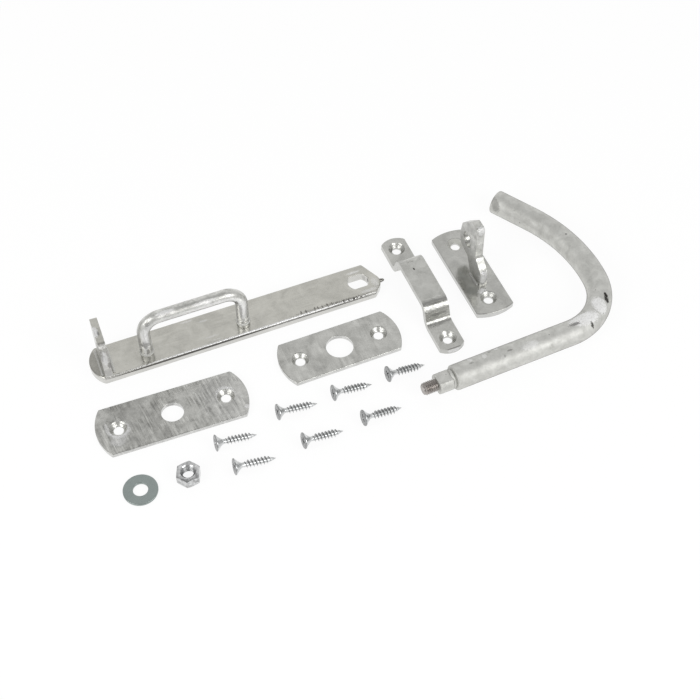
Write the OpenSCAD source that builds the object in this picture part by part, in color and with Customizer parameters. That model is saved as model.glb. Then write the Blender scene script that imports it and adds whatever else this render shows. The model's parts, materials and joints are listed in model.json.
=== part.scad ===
// Stable door latch, laid out as its kit of separate pieces on a flat surface.
// Z is up, the latch bar lies along X, and the origin is under the middle of the kit's box.

/* [Latch bar] */
// Length of the flat bar, tip to tip
bar_l = 190; // [150:0.1:260]
// Width of the flat bar
bar_w = 25.3; // [20:0.1:40]
// Thickness of the flat bar
bar_t = 6; // [4:0.1:10]
// Radius of the bar's shallow round left end
bar_end_r = 16.4; // [13.4:0.1:40]
// Length of the bar's tapered right end
bar_point_l = 6.4; // [4:0.1:9]
// Distance from the bar's right tip to the spindle slot
bar_slot_inset = 13.8; // [11:0.1:25]

/* [Pull handle] */
// Diameter of the handle's round rod
pull_rod_d = 8; // [6:0.1:12]
// Distance between the handle's two feet
pull_pitch = 62.4; // [50:0.1:90]
// Height of the handle above the bar
pull_h = 32; // [28:0.1:50]
// Centre line radius of the handle's two bends
pull_bend_r = 11; // [8:0.1:15]
// Distance from the bar's left tip to the middle of the handle
pull_from_tip = 66.6; // [55:0.1:90]
// Distance of the handle from the bar's centre line, towards the lower edge
pull_offset = 2; // [0:0.1:4]
// Leg of the welds at the handle's feet
pull_weld = 1.3; // [1:0.1:3]

/* [Padlock lug] */
// Thickness of the lug plate
lug_t = 4.5; // [3:0.1:8]
// Height of the lug above the bar
lug_h = 28.5; // [25:0.1:45]
// Distance from the bar's left tip to the middle of the lug
lug_from_tip = 9.3; // [8:0.1:20]
// Radius of the lug's upper corners
lug_corner_r = 5; // [1:0.1:8]
// Diameter of the padlock holes in the lug and the hook
lock_hole_d = 10.5; // [7:0.1:12]
// Distance of the lug's hole from the bar's lower edge
lug_hole_in = 8.2; // [7.5:0.1:13]
// Leg of the weld at the lug's foot
lug_weld = 2.5; // [1:0.1:4]

/* [Bow handle] */
// Diameter of the bow handle's round rod
rod_d = 16; // [12:0.1:20]
// Length of the straight shank, from the shoulder to the bend
shank_l = 81.9; // [60:0.1:110]
// Centre line radius of the tight bend
bend_r = 37.5; // [30:0.1:60]
// Angle of the tight bend, degrees
bend_a = 81; // [60:0.5:88]
// Centre line radius of the wide bend
bow_r = 99.7; // [70:0.1:140]
// Angle of the wide bend, degrees
bow_a = 37.5; // [20:0.5:50]
// Length of the straight free end
free_l = 27.4; // [10:0.1:50]
// Chamfer round the rod's ends
rod_chamfer = 1.2; // [0.2:0.1:1.6]
// Diameter of the turned neck that the two flats are cut on
neck_d = 12.6; // [10:0.1:15]
// Distance between the neck's two flats
neck_af = 9.8; // [8:0.1:12]
// Length of the round collar behind the flats
collar_l = 2.2; // [1:0.1:4]
// Diameter of the threaded tip
thread_d = 8; // [6:1:10]
// Length of the threaded tip
thread_l = 9.3; // [8.5:0.1:14]

/* [Outer bearing plate] */
// Length of the outer plate, tip to tip
outer_l = 92.6; // [80:0.1:120]
// Width of the outer plate
outer_w = 34; // [28:0.1:45]
// Distance between the outer plate's screw holes
outer_pitch = 66; // [50:0.1:80]

/* [Inner bearing plate] */
// Length of the inner plate, tip to tip
inner_l = 78.5; // [68:0.1:100]
// Width of the inner plate
inner_w = 32; // [26:0.1:40]
// Distance between the inner plate's screw holes
inner_pitch = 52.3; // [44:0.1:60]

/* [Both bearing plates] */
// Thickness of both bearing plates
plate_t = 3; // [2:0.1:5]
// Radius of the plates' shallow round ends
plate_end_r = 29; // [23:0.5:60]
// Radial play of the turned neck and of the rod in the plates' holes
bearing_play = 0.5; // [0.2:0.05:1.2]
// Radial play of the spindle neck in the bar's slot
slot_play = 0.5; // [0.1:0.05:1]

/* [Bar keeper] */
// Length of the keeper, tip to tip
keeper_l = 99; // [90:0.1:130]
// Width of the keeper's strip
keeper_w = 16.4; // [13:0.1:25]
// Thickness of the keeper's strip
keeper_t = 3.9; // [3:0.1:5]
// Height of the keeper's raised strap, outside
keeper_h = 16; // [14:0.1:22]
// Length of the raised strap along its flat top
keeper_top_l = 42.4; // [36:0.1:50]
// Length of the keeper between the feet of its two risers, outside
keeper_foot_span = 52.2; // [48:0.1:58]
// Inside radius of the keeper's bends
keeper_bend_r = 4; // [1:0.1:6]
// Distance between the keeper's screw holes
keeper_pitch = 80; // [72:0.1:90]
// Radius of the keeper's round ends
keeper_end_r = 12; // [8.4:0.1:30]

/* [Catch plate] */
// Length of the catch plate, tip to tip
catch_l = 74.2; // [66:0.1:100]
// Width of the catch plate
catch_w = 25.6; // [20:0.1:35]
// Thickness of the catch plate
catch_t = 4; // [3:0.1:6]
// Radius of the catch plate's shallow round ends
catch_end_r = 30; // [18:0.5:60]
// Distance between the catch plate's screw holes
catch_pitch = 49.4; // [46:0.1:60]

/* [Catch hook] */
// Thickness of the hook plate
hook_t = 5; // [3:0.1:8]
// Height of the hook above the catch plate
hook_h = 42; // [36:0.1:50]
// Length of the hook's root along the catch plate
hook_root_l = 14; // [12:0.1:16]
// Height of the root's lower step
hook_step_h = 11; // [9:0.1:14]
// Height of the throat that the bar drops into
hook_throat_h = 9.2; // [8.5:0.1:12]
// Width of the hook's head
hook_head_w = 21.6; // [19:0.1:26]
// Length of the head's flat top, before the ramp
hook_top_l = 8; // [5:0.1:12]
// Height of the tip's blunt end
hook_tip_h = 17; // [14:0.1:20]
// Distance of the padlock hole from the root, along the catch plate
lock_hole_y = 7.8; // [6:0.1:9]
// Height of the padlock holes above the door post's face
lock_hole_z = 26; // [22:0.1:28]
// Distance of the hook from the catch plate's centre line, towards the bow handle
hook_offset = 1.1; // [0:0.1:4]
// Leg of the weld round the hook's root
hook_weld = 2; // [1:0.1:3]

/* [Screw holes] */
// Diameter of the holes through the plates
screw_hole_d = 6; // [5.2:0.1:7]
// Diameter of the countersinks at the surface
csk_d = 10.8; // [9:0.1:12]

/* [Nut and washer] */
// Width of the nut across its flats
nut_af = 13; // [10:0.1:17]
// Height of the nut
nut_h = 6.5; // [5:0.1:8]
// Outside diameter of the washer
washer_d = 20.2; // [16:0.1:25]
// Thickness of the washer
washer_t = 1.6; // [1:0.1:2]
// Radial play of the threaded tip in the washer
washer_play = 0.35; // [0.1:0.05:0.6]

/* [Wood screws] */
// Overall length of a screw
screw_l = 25; // [20:0.5:35]
// Diameter of a screw's head
screw_head_d = 10; // [8:0.1:11]
// Diameter over a screw's thread
screw_thread_d = 5; // [4:0.1:5]
// Length of a screw's plain neck below the head's cone
screw_neck_l = 4; // [2:0.1:8]
// Length of a screw's pointed tip
screw_tip_l = 4.5; // [3:0.1:8]

/* [Kit lay-out] */
// Gap from the bar's lower edge to the outer plate
gap_outer = 20; // [15:0.5:30]
// Gap from the bar's lower edge to the inner plate
gap_inner = 13.5; // [10:0.5:30]
// Length by which the outer plate starts left of the bar
outer_lead = 10.2; // [0:0.1:20]
// Gap between the two bearing plates
gap_plates = 24.6; // [15:0.1:35]
// Gap from the bar's right tip to the keeper
gap_keeper = 12.6; // [10:0.1:25]
// Distance of the keeper's middle below the bar's centre line
keeper_drop = 22.2; // [15:0.1:30]
// Gap between the keeper and the catch plate
gap_catch = 16.4; // [12:0.1:25]
// Distance of the catch plate's middle below the bar's centre line
catch_drop = 18.3; // [15:0.1:22]
// Gap from the catch plate to the bow handle's shank
gap_bow = 31.1; // [25:0.1:40]
// Distance of the spindle's shoulder right of the bar's right tip
bow_lead = 8; // [4:0.1:15]

/* [Hidden] */
eps = 0.01;
over = 1;
fine = 96;
small = 48;
arc_steps = 8;
steel = [0.72, 0.73, 0.71];
zinc = [0.78, 0.79, 0.79];

// Fits that follow from the sizes above
clamp_gap = 0.2;
root_ratio = 0.84;
point_ratio = 0.32;
drop_ratio = 0.12;
bar_point_r = bar_w * point_ratio;
bar_point_drop = bar_w * drop_ratio;
outer_bore_d = neck_d + 2 * bearing_play;
inner_bore_d = rod_d + 2 * bearing_play;
slot_d = neck_d + 2 * slot_play;
slot_w = neck_af + 2 * slot_play;
flats_l = plate_t + bar_t - clamp_gap;
neck_l = collar_l + flats_l;
washer_hole_d = thread_d + 2 * washer_play;
nut_bore_d = thread_d * root_ratio;
nut_corner_d = nut_af / cos(30);
csk_depth = (csk_d - screw_hole_d) / 2;
thread_chamfer = 0.7;
nut_bevel = 0.7;
nut_face_in = 0.2;
nut_mouth_h = 0.8;
mark_l = 0.6;
mark_h = 0.04;

// Small shapes of the hook's outline, in the order that they go round it
sharp_r = 0.01;
hook_foot_lean = 0.3;
hook_waist = 4.4;
hook_step_slope = 7;
hook_waist_lean = 0.8;
hook_side_lean = 1.6;
hook_bulge = 0.58;
hook_chin = 3.2;
hook_throat_in = 4.6;
hook_radii = [sharp_r, 3, 5, 2.5, 2, 2.5, 3, 2, 2.5, sharp_r];

// Shape of the weld runs
weld_dip = 0.4;
lug_weld_short = 1.5;
lug_side_in = 0.2;
hook_weld_short = 0.5;

// Distances between the small loose pieces
washer_lead = 3;
gap_washer = 16.1;
washer_pitch = 28.1;
nut_drop = 2.1;
row_lead = 17.8;
row2_back = 26.1;
gap_row = 11.4;
row_pitch = 24;
row_step = 35.6;
row2_step = 38.4;
row_slip = 0.3;
stray_slip = 1.4;
stray6_x = 5.3;
stray6_y = 7.3;
stray7_x = 4.6;

// Small turns of the pieces as they lie, and of the lug as it is welded, degrees
lug_yaw = -2;
outer_yaw = -1.9;
inner_yaw = 0.6;
keeper_yaw = -0.7;
catch_yaw = -0.4;
bow_yaw = 2.4;
nut_yaw = 7.3;

// The screw rests on its head's rim and on its last full crest
screw_rim = 0.6;
screw_edge = 0.2;
screw_start_l = 1;
screw_core_r = screw_thread_d * 0.33;
screw_cone_l = screw_head_d / 2 - screw_core_r;
screw_crest_x = screw_l - screw_tip_l;
screw_lean = atan((screw_head_d - screw_thread_d) / 2 / (screw_crest_x - screw_rim));
recess_w = 0.9;
recess_l = 4.6;
recess_depth = 1.8;

// Positions on the surface, from the bar's spindle slot
bar_x0 = bar_slot_inset - bar_l;
outer_x = bar_x0 - outer_lead + outer_l / 2;
outer_y = -bar_w / 2 - gap_outer - outer_w / 2;
inner_x = outer_x + outer_l / 2 + gap_plates + inner_l / 2;
inner_y = -bar_w / 2 - gap_inner - inner_w / 2;
keeper_x = bar_slot_inset + gap_keeper + keeper_w / 2;
catch_x = keeper_x + keeper_w / 2 + gap_catch + catch_w / 2;
bow_x = bar_slot_inset + bow_lead;
bow_y = -catch_drop - catch_l / 2 - gap_bow - rod_d / 2;
washer_x = bar_x0 + washer_lead;
washer_y = outer_y - outer_w / 2 - gap_washer - washer_d / 2;
nut_x = washer_x + washer_pitch;
nut_y = washer_y - nut_drop;
row1_x = inner_x + row_lead;
row2_x = row1_x - row2_back;
row1_y = inner_y - inner_w / 2 - gap_row - screw_head_d / 2;
row2_y = row1_y - row_pitch;

// Each screw's place and turn: three in the upper row, two in the lower row and two further left
screw_spots = [
    [row1_x, row1_y, -0.2],
    [row1_x - row_step, row1_y - row_slip, -2.2],
    [row1_x - 2 * row_step, row1_y - 2 * row_slip, -2.7],
    [row2_x, row2_y, 0.3],
    [row2_x - row2_step, row2_y - stray_slip, -1.2],
    [row1_x - 3 * row_step - stray6_x, row1_y - stray6_y, -3.7],
    [row2_x - 2 * row2_step - stray7_x, row2_y - 2 * stray_slip, -3.6]
];

// Centre line of the bow handle, seen from above
bow_h1 = bow_yaw + bend_a;
bow_h2 = bow_h1 + bow_a;
bow_p1 = [bow_x, bow_y] + shank_l * [cos(bow_yaw), sin(bow_yaw)];
bow_c1 = bow_p1 + bend_r * [-sin(bow_yaw), cos(bow_yaw)];
bow_p2 = bow_c1 + bend_r * [sin(bow_h1), -cos(bow_h1)];
bow_c2 = bow_p2 + bow_r * [-sin(bow_h1), cos(bow_h1)];
bow_p3 = bow_c2 + bow_r * [sin(bow_h2), -cos(bow_h2)];
bow_end = bow_p3 + free_l * [cos(bow_h2), sin(bow_h2)];

// The kit's outermost points, which put the origin under its middle
outer_left = outer_x - (outer_l / 2 - plate_end_r) * cos(outer_yaw) - plate_end_r;
kit_left = min(outer_left, bar_x0, washer_x - washer_d / 2);
kit_right = bow_c2[0] + bow_r + rod_d / 2;
kit_top = max(bow_end[1] + (rod_d / 2 - rod_chamfer) * abs(cos(bow_h2)), keeper_l / 2 - keeper_drop);
kit_bottom = min(screw_spots[6][1] - screw_head_d / 2, bow_y - rod_d / 2);
kit_shift = [-(kit_left + kit_right) / 2, -(kit_top + kit_bottom) / 2, 0];

function unit(v) = v / norm(v);

// Points that round the corner b, between its neighbours a and c
function corner(a, b, c, r) =
    let (
        u = unit(a - b),
        w = unit(c - b),
        half = acos(u * w) / 2,
        m = b + unit(u + w) * r / sin(half),
        p = b + u * r / tan(half) - m,
        q = b + w * r / tan(half) - m,
        a0 = atan2(p[1], p[0]),
        turn = (atan2(q[1], q[0]) - a0 + 540) % 360 - 180
    )
    [for (i = [0:arc_steps]) m + r * [cos(a0 + turn * i / arc_steps), sin(a0 + turn * i / arc_steps)]];

// A closed outline with each corner rounded by its own radius
function softened(pts, radii) =
    let (n = len(pts))
    [for (i = [0:n - 1]) each corner(pts[(i + n - 1) % n], pts[i], pts[(i + 1) % n], radii[i])];

// Outline of a strip with shallow round ends
module strip_outline(l, w, r) {
    sag = r - sqrt(r * r - w * w / 4);
    square([l - 2 * sag, w], center = true);
    for (s = [-1, 1])
        intersection() {
            translate([s * (l / 2 - r), 0]) circle(r = r, $fn = fine);
            translate([s * (l / 4), 0]) square([l / 2, w], center = true);
        }
}

// One countersunk screw hole, cut down from the surface at height top
module csk_hole(top, t) {
    translate([0, 0, top - t - over]) cylinder(h = t + 2 * over, d = screw_hole_d, $fn = small);
    translate([0, 0, top - csk_depth])
        cylinder(h = csk_depth + over, d1 = screw_hole_d, d2 = csk_d + 2 * over, $fn = small);
}

module csk_pair(pitch, top, t) {
    for (s = [-1, 1])
        translate([s * pitch / 2, 0, 0]) csk_hole(top, t);
}

// Profile of the spindle neck and of the bar's slot: a circle with two flats
module double_d(d, af) {
    intersection() {
        circle(d = d, $fn = fine);
        square([d + over, af], center = true);
    }
}

// Angle at which a line from the point p touches the circle of radius r round c
function touch(p, c, r, side) =
    let (d = p - c)
    atan2(d[1], d[0]) + side * acos(r / norm(d));

// Outline of the bar from its left tip: a shallow round end, and a blunt point below the centre line
module bar_outline() {
    w = bar_w / 2;
    sag = bar_end_r - sqrt(bar_end_r * bar_end_r - w * w);
    low = [bar_l - bar_point_l, -w];
    high = [bar_l - bar_point_l, w];
    mid = [bar_l - bar_point_r, -bar_point_drop];
    a0 = touch(low, mid, bar_point_r, 1);
    turn = touch(high, mid, bar_point_r, -1) - a0;
    polygon([
        [sag, -w],
        low,
        for (i = [0:arc_steps])
            mid + bar_point_r * [cos(a0 + turn * i / arc_steps), sin(a0 + turn * i / arc_steps)],
        high,
        [sag, w]
    ]);
    intersection() {
        translate([bar_end_r, 0]) circle(r = bar_end_r, $fn = fine);
        translate([0, -w]) square([bar_end_r, bar_w]);
    }
}

module latch_bar() {
    color(steel) difference() {
        translate([bar_x0, 0, 0]) linear_extrude(height = bar_t) bar_outline();
        translate([0, 0, -over]) linear_extrude(height = bar_t + 2 * over) double_d(slot_d, slot_w);
    }
}

module pull_handle() {
    leg_h = pull_h - pull_rod_d / 2 - pull_bend_r;
    color(steel) translate([bar_x0 + pull_from_tip, -pull_offset, bar_t]) {
        for (s = [-1, 1]) {
            translate([s * pull_pitch / 2, 0, 0]) cylinder(h = leg_h, d = pull_rod_d, $fn = small);
            translate([s * (pull_pitch / 2 - pull_bend_r), 0, leg_h]) pull_bend(s);
        }
        translate([pull_bend_r - pull_pitch / 2, 0, leg_h + pull_bend_r]) rotate([0, 90, 0])
            cylinder(h = pull_pitch - 2 * pull_bend_r, d = pull_rod_d, $fn = small);
    }
}

module pull_bend(s) {
    rotate([90, 0, 0]) rotate([0, 0, s > 0 ? 0 : 90]) rotate_extrude(angle = 90, $fn = fine)
        translate([pull_bend_r, 0]) circle(d = pull_rod_d, $fn = small);
}

module handle_weld(s) {
    r = pull_rod_d / 2;
    color(steel) translate([bar_x0 + pull_from_tip + s * pull_pitch / 2, -pull_offset, bar_t])
        rotate_extrude($fn = small)
        translate([r, 0]) fillet_outline(pull_weld);
}

module padlock_lug() {
    w = bar_w / 2 - lug_side_in;
    outline = softened(
        [[-w, 0], [w, 0], [w, lug_h], [-w, lug_h]],
        [sharp_r, sharp_r, lug_corner_r / 2, lug_corner_r]
    );
    color(steel) translate([bar_x0 + lug_from_tip, 0, bar_t]) rotate([0, 0, lug_yaw]) difference() {
        translate([-lug_t / 2, 0, 0]) rotate([90, 0, 90]) linear_extrude(height = lug_t) polygon(outline);
        translate([-lug_t / 2 - over, lug_hole_in - bar_w / 2, lock_hole_z - plate_t - bar_t])
            rotate([0, 90, 0]) cylinder(h = lug_t + 2 * over, d = lock_hole_d, $fn = small);
    }
}

module lug_weld() {
    color(steel) translate([bar_x0 + lug_from_tip, 0, bar_t]) rotate([0, 0, lug_yaw]) for (s = [0, 1])
        mirror([s, 0, 0]) translate([lug_t / 2, bar_w / 2 - lug_weld_short, 0]) rotate([90, 0, 0])
            linear_extrude(height = bar_w - 2 * lug_weld_short) fillet_outline(lug_weld);
}

// Section of a weld run, with its corner at the origin
module fillet_outline(leg) {
    polygon([[0, 0], [leg, 0], [leg * weld_dip, leg * weld_dip], [0, leg]]);
}

module bow_handle() {
    color(steel) translate([bow_x, bow_y, rod_d / 2 + mark_h]) rotate([0, 0, bow_yaw]) {
        rotate([0, 90, 0]) spindle();
        translate([shank_l, 0, 0]) rod_bend(bend_r, bend_a) rod_bend(bow_r, bow_a) free_end();
    }
}

// A bend that starts at the origin along +X and turns to the left, with what follows it at its end
module rod_bend(r, a) {
    translate([0, r, 0]) rotate([0, 0, -90]) {
        rotate_extrude(angle = a, $fn = fine) translate([r, 0]) circle(d = rod_d, $fn = fine);
        rotate([0, 0, a]) translate([r, 0, 0]) rotate([0, 0, 90]) {
            bend_mark();
            children();
        }
    }
}

// The faint ring that the bending tool leaves round the rod where a bend ends
module bend_mark() {
    rotate([0, 90, 0]) translate([0, 0, -mark_l / 2])
        cylinder(h = mark_l, d = rod_d + 2 * mark_h, $fn = fine);
}

module free_end() {
    rotate([0, 90, 0]) {
        cylinder(h = free_l - rod_chamfer, d = rod_d, $fn = fine);
        translate([0, 0, free_l - rod_chamfer])
            cylinder(h = rod_chamfer, d1 = rod_d, d2 = rod_d - 2 * rod_chamfer, $fn = fine);
    }
}

// The straight shank along +Z from its shoulder, with the keyed neck and thread below it
module spindle() {
    translate([0, 0, rod_chamfer]) cylinder(h = shank_l - rod_chamfer, d = rod_d, $fn = fine);
    cylinder(h = rod_chamfer, d1 = rod_d - 2 * rod_chamfer, d2 = rod_d, $fn = fine);
    translate([0, 0, -collar_l]) cylinder(h = collar_l, d = neck_d, $fn = fine);
    translate([0, 0, -neck_l]) rotate([0, 0, 90]) linear_extrude(height = flats_l) double_d(neck_d, neck_af);
    translate([0, 0, thread_chamfer - neck_l - thread_l])
        cylinder(h = thread_l - thread_chamfer, d = thread_d, $fn = small);
    translate([0, 0, -neck_l - thread_l])
        cylinder(h = thread_chamfer, d1 = thread_d - 2 * thread_chamfer, d2 = thread_d, $fn = small);
}

module bearing_plate(l, w, pitch, bore) {
    color(steel) difference() {
        linear_extrude(height = plate_t) strip_outline(l, w, plate_end_r);
        translate([0, 0, -over]) cylinder(h = plate_t + 2 * over, d = bore, $fn = fine);
        csk_pair(pitch, plate_t, plate_t);
    }
}

module outer_plate() {
    translate([outer_x, outer_y, 0]) rotate([0, 0, outer_yaw])
        bearing_plate(outer_l, outer_w, outer_pitch, outer_bore_d);
}

module inner_plate() {
    translate([inner_x, inner_y, 0]) rotate([0, 0, inner_yaw])
        bearing_plate(inner_l, inner_w, inner_pitch, inner_bore_d);
}

// Side view of the bent strip: outer line from left to right, then back along the inner line
module keeper_profile() {
    run = (keeper_foot_span - keeper_top_l) / 2;
    rise = keeper_h - keeper_t;
    lean = atan2(rise, run);
    shift = keeper_t * tan(lean / 2);
    out_r = keeper_bend_r + keeper_t;
    x0 = keeper_l / 2;
    x1 = keeper_foot_span / 2;
    x2 = keeper_top_l / 2;
    polygon(softened(
        [
            [-x0, 0], [shift - x1, 0], [shift - x2, rise], [x2 - shift, rise], [x1 - shift, 0], [x0, 0],
            [x0, keeper_t], [x1, keeper_t], [x2, keeper_h], [-x2, keeper_h], [-x1, keeper_t], [-x0, keeper_t]
        ],
        [
            sharp_r, out_r, keeper_bend_r, keeper_bend_r, out_r, sharp_r,
            sharp_r, keeper_bend_r, out_r, out_r, keeper_bend_r, sharp_r
        ]
    ));
}

module bar_keeper() {
    color(steel) translate([keeper_x, -keeper_drop, 0]) rotate([0, 0, 90 + keeper_yaw]) difference() {
        intersection() {
            translate([0, keeper_w / 2, 0]) rotate([90, 0, 0]) linear_extrude(height = keeper_w)
                keeper_profile();
            linear_extrude(height = keeper_h) strip_outline(keeper_l, keeper_w, keeper_end_r);
        }
        csk_pair(keeper_pitch, keeper_t, keeper_t);
    }
}

module catch_plate() {
    color(steel) translate([catch_x, -catch_drop, 0]) rotate([0, 0, 90 + catch_yaw]) difference() {
        linear_extrude(height = catch_t) strip_outline(catch_l, catch_w, catch_end_r);
        csk_pair(catch_pitch, catch_t, catch_t);
    }
}

// Side view of the hook, from the catch plate's middle and its top face
function hook_points() =
    let (
        x0 = -hook_root_l,
        x1 = -hook_waist,
        x2 = x1 + hook_head_w,
        ramp = hook_head_w - hook_side_lean - hook_top_l
    )
    [
        [x0, 0], [x0 + hook_foot_lean, hook_step_h], [x1 - hook_waist_lean, hook_step_h + hook_step_slope],
        [x1, hook_h], [x1 + hook_top_l, hook_h], [x2 - hook_side_lean, hook_h - ramp],
        [x2, hook_h - ramp - hook_tip_h * hook_bulge], [x2 - hook_side_lean, hook_throat_h + hook_chin],
        [hook_throat_in, hook_throat_h], [0, 0]
    ];

module catch_hook() {
    color(steel) translate([catch_x, -catch_drop, catch_t]) rotate([0, 0, 90 + catch_yaw])
        translate([0, -hook_offset - hook_t / 2, 0]) difference() {
            translate([0, hook_t, 0]) rotate([90, 0, 0]) linear_extrude(height = hook_t)
                polygon(softened(hook_points(), hook_radii));
            translate([lock_hole_y, -over, lock_hole_z - catch_t]) rotate([-90, 0, 0])
                cylinder(h = hook_t + 2 * over, d = lock_hole_d, $fn = small);
        }
}

module hook_weld() {
    color(steel) translate([catch_x, -catch_drop, catch_t]) rotate([0, 0, 90 + catch_yaw])
        translate([0, -hook_offset, 0]) for (s = [0, 1])
            mirror([0, s, 0]) translate([hook_weld_short - hook_root_l, hook_t / 2, 0]) rotate([90, 0, 90])
                linear_extrude(height = hook_root_l - 2 * hook_weld_short) fillet_outline(hook_weld);
}

module spindle_nut() {
    face_r = nut_af / 2 - nut_face_in;
    waist_r = nut_corner_d / 2 + nut_bevel;
    color(zinc) translate([nut_x, nut_y, 0]) rotate([0, 0, nut_yaw]) difference() {
        intersection() {
            cylinder(h = nut_h, d = nut_corner_d, $fn = 6);
            rotate_extrude($fn = fine) polygon([
                [0, 0], [face_r, 0], [waist_r, nut_bevel],
                [waist_r, nut_h - nut_bevel], [face_r, nut_h], [0, nut_h]
            ]);
        }
        translate([0, 0, -over]) cylinder(h = nut_h + 2 * over, d = nut_bore_d, $fn = small);
        nut_mouth();
        translate([0, 0, nut_h]) mirror([0, 0, 1]) nut_mouth();
    }
}

// The countersunk mouth of the nut's bore, which cuts from z = 0 upwards
module nut_mouth() {
    translate([0, 0, -eps]) cylinder(h = nut_mouth_h, d1 = thread_d + 2 * eps, d2 = nut_bore_d, $fn = small);
}

module spindle_washer() {
    color(zinc) translate([washer_x, washer_y, 0]) difference() {
        cylinder(h = washer_t, d = washer_d, $fn = fine);
        translate([0, 0, -over]) cylinder(h = washer_t + 2 * over, d = washer_hole_d, $fn = fine);
    }
}

// A countersunk screw along +Z from the middle of its head's face
module wood_screw() {
    head_r = screw_head_d / 2;
    neck_x = screw_rim + screw_cone_l;
    difference() {
        rotate_extrude($fn = small) polygon([
            [0, 0], [head_r - screw_edge, 0], [head_r, screw_edge], [head_r, screw_rim],
            [screw_core_r, neck_x], [screw_core_r, neck_x + screw_neck_l],
            [screw_thread_d / 2, neck_x + screw_neck_l + screw_start_l],
            [screw_thread_d / 2, screw_crest_x], [screw_edge, screw_l], [0, screw_l]
        ]);
        for (a = [0, 90])
            rotate([0, 0, a + 45]) translate([-recess_l / 2, -recess_w / 2, -over])
                cube([recess_l, recess_w, recess_depth + over]);
    }
}

module screw(n) {
    spot = screw_spots[n - 1];
    rest_h = screw_head_d / 2 * cos(screw_lean) + screw_rim * sin(screw_lean);
    color(zinc) translate([spot[0], spot[1], rest_h])
        rotate([0, 90 + screw_lean, spot[2]]) wood_screw();
}

translate(kit_shift) {
    latch_bar();
    pull_handle();
    handle_weld(-1);  // handle_weld_1
    handle_weld(1);  // handle_weld_2
    padlock_lug();
    lug_weld();
    bow_handle();
    outer_plate();
    inner_plate();
    bar_keeper();
    catch_plate();
    catch_hook();
    hook_weld();
    spindle_nut();
    spindle_washer();
    for (n = [1:7])
        screw(n);
}
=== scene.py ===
"""Stable door latch kit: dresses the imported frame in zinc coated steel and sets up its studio."""

import json
from math import atan2, ceil, cos, pi, radians, sin, sqrt

import bmesh
import bpy
from bpy.props import FloatProperty, FloatVectorProperty, PointerProperty
from mathutils import Matrix, Vector


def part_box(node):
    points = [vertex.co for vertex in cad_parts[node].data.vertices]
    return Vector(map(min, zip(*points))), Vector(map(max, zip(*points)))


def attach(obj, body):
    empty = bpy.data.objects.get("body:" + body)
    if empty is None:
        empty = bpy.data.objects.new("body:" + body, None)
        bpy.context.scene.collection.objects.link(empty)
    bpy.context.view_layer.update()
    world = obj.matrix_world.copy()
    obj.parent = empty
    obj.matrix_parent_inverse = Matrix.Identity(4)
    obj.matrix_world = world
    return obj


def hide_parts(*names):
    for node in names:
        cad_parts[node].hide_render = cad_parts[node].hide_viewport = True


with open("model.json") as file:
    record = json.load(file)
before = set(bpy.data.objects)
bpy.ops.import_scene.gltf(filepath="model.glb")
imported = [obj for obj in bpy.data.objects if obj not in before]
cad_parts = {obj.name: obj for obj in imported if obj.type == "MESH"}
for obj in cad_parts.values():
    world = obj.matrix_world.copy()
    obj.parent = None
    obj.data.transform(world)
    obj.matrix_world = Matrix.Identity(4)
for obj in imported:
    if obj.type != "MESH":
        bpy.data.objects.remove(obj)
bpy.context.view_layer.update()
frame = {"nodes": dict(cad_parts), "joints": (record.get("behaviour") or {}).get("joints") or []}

bl_info = {
    "name": "Stable door latch kit",
    "version": (1, 0, 0),
    "blender": (4, 5, 0),
    "location": "3D View > Sidebar > Latch kit",
    "description": "Makes the zinc coated pieces of a stable door latch and the studio that they lie in",
    "category": "Object",
}

MM = 0.001
NODES = frame["nodes"]
DOOR, BAR, BOW = "door_and_post_pieces", "latch_bar", "bow_handle"
GALVANISED, PLATED = "galvanised_steel", "zinc_plated_steel"
STAY = Matrix.Identity(4)


# Settings that a user would change

def length(name, description, default_mm):
    """A length setting, given here in millimetres."""
    return FloatProperty(
        name=name, description=description, default=default_mm * MM, min=0.0, unit="LENGTH"
    )


def angle(name, description, default_degrees):
    """An angle setting, given here in degrees."""
    return FloatProperty(
        name=name, description=description, default=radians(default_degrees), subtype="ANGLE"
    )


def colour(name, description, default):
    """A colour setting, in linear red, green and blue."""
    return FloatVectorProperty(
        name=name, description=description, default=default, subtype="COLOR", size=3, min=0.0, max=1.0
    )


def share(name, description, default):
    """A plain share from 0 to 1."""
    return FloatProperty(
        name=name, description=description, default=default, min=0.0, max=1.0, subtype="FACTOR"
    )


class LatchEdgeSettings(bpy.types.PropertyGroup):
    """How far the zinc rounds the edges of the flat pieces"""

    bar: length("Bar edge", "Rounding of the latch bar's edges", 0.9)
    plate: length("Plate edge", "Rounding of the bearing plates' edges", 0.5)
    keeper: length("Keeper edge", "Rounding of the keeper's edges", 0.6)
    hook: length("Hook edge", "Rounding of the hook's edges", 1.5)
    lug: length("Lug edge", "Rounding of the padlock lug's edges", 1.0)
    washer: length("Washer edge", "Rounding of the washer's punched edges", 0.25)
    hole_share: share("Hole share", "Rounding round the holes, as a share of the outline's", 0.55)
    slot_share: share("Slot share", "Rounding round the bar's slot, as a share of the outline's", 0.25)


class LatchBowSettings(bpy.types.PropertyGroup):
    """Sizes of the bent rod of the bow handle"""

    rod_diameter: length("Rod diameter", "Diameter of the round rod", 16.0)
    shank_length: length("Shank length", "Straight shank from the shoulder to the tight bend", 81.9)
    bend_radius: length("Tight bend radius", "Centre line radius of the tight bend", 37.5)
    bend_angle: angle("Tight bend angle", "Angle that the tight bend turns through", 81.0)
    bow_radius: length("Wide bend radius", "Centre line radius of the wide bend", 99.7)
    bow_angle: angle("Wide bend angle", "Angle that the wide bend turns through", 37.5)
    free_length: length("Free end length", "Straight length of the free end", 27.4)
    end_chamfer: length("End rounding", "Rounding of the rod's two ends", 1.2)
    lump_height: length("Zinc lumps", "Height of the lumps in the zinc on the rod", 0.11)


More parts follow.
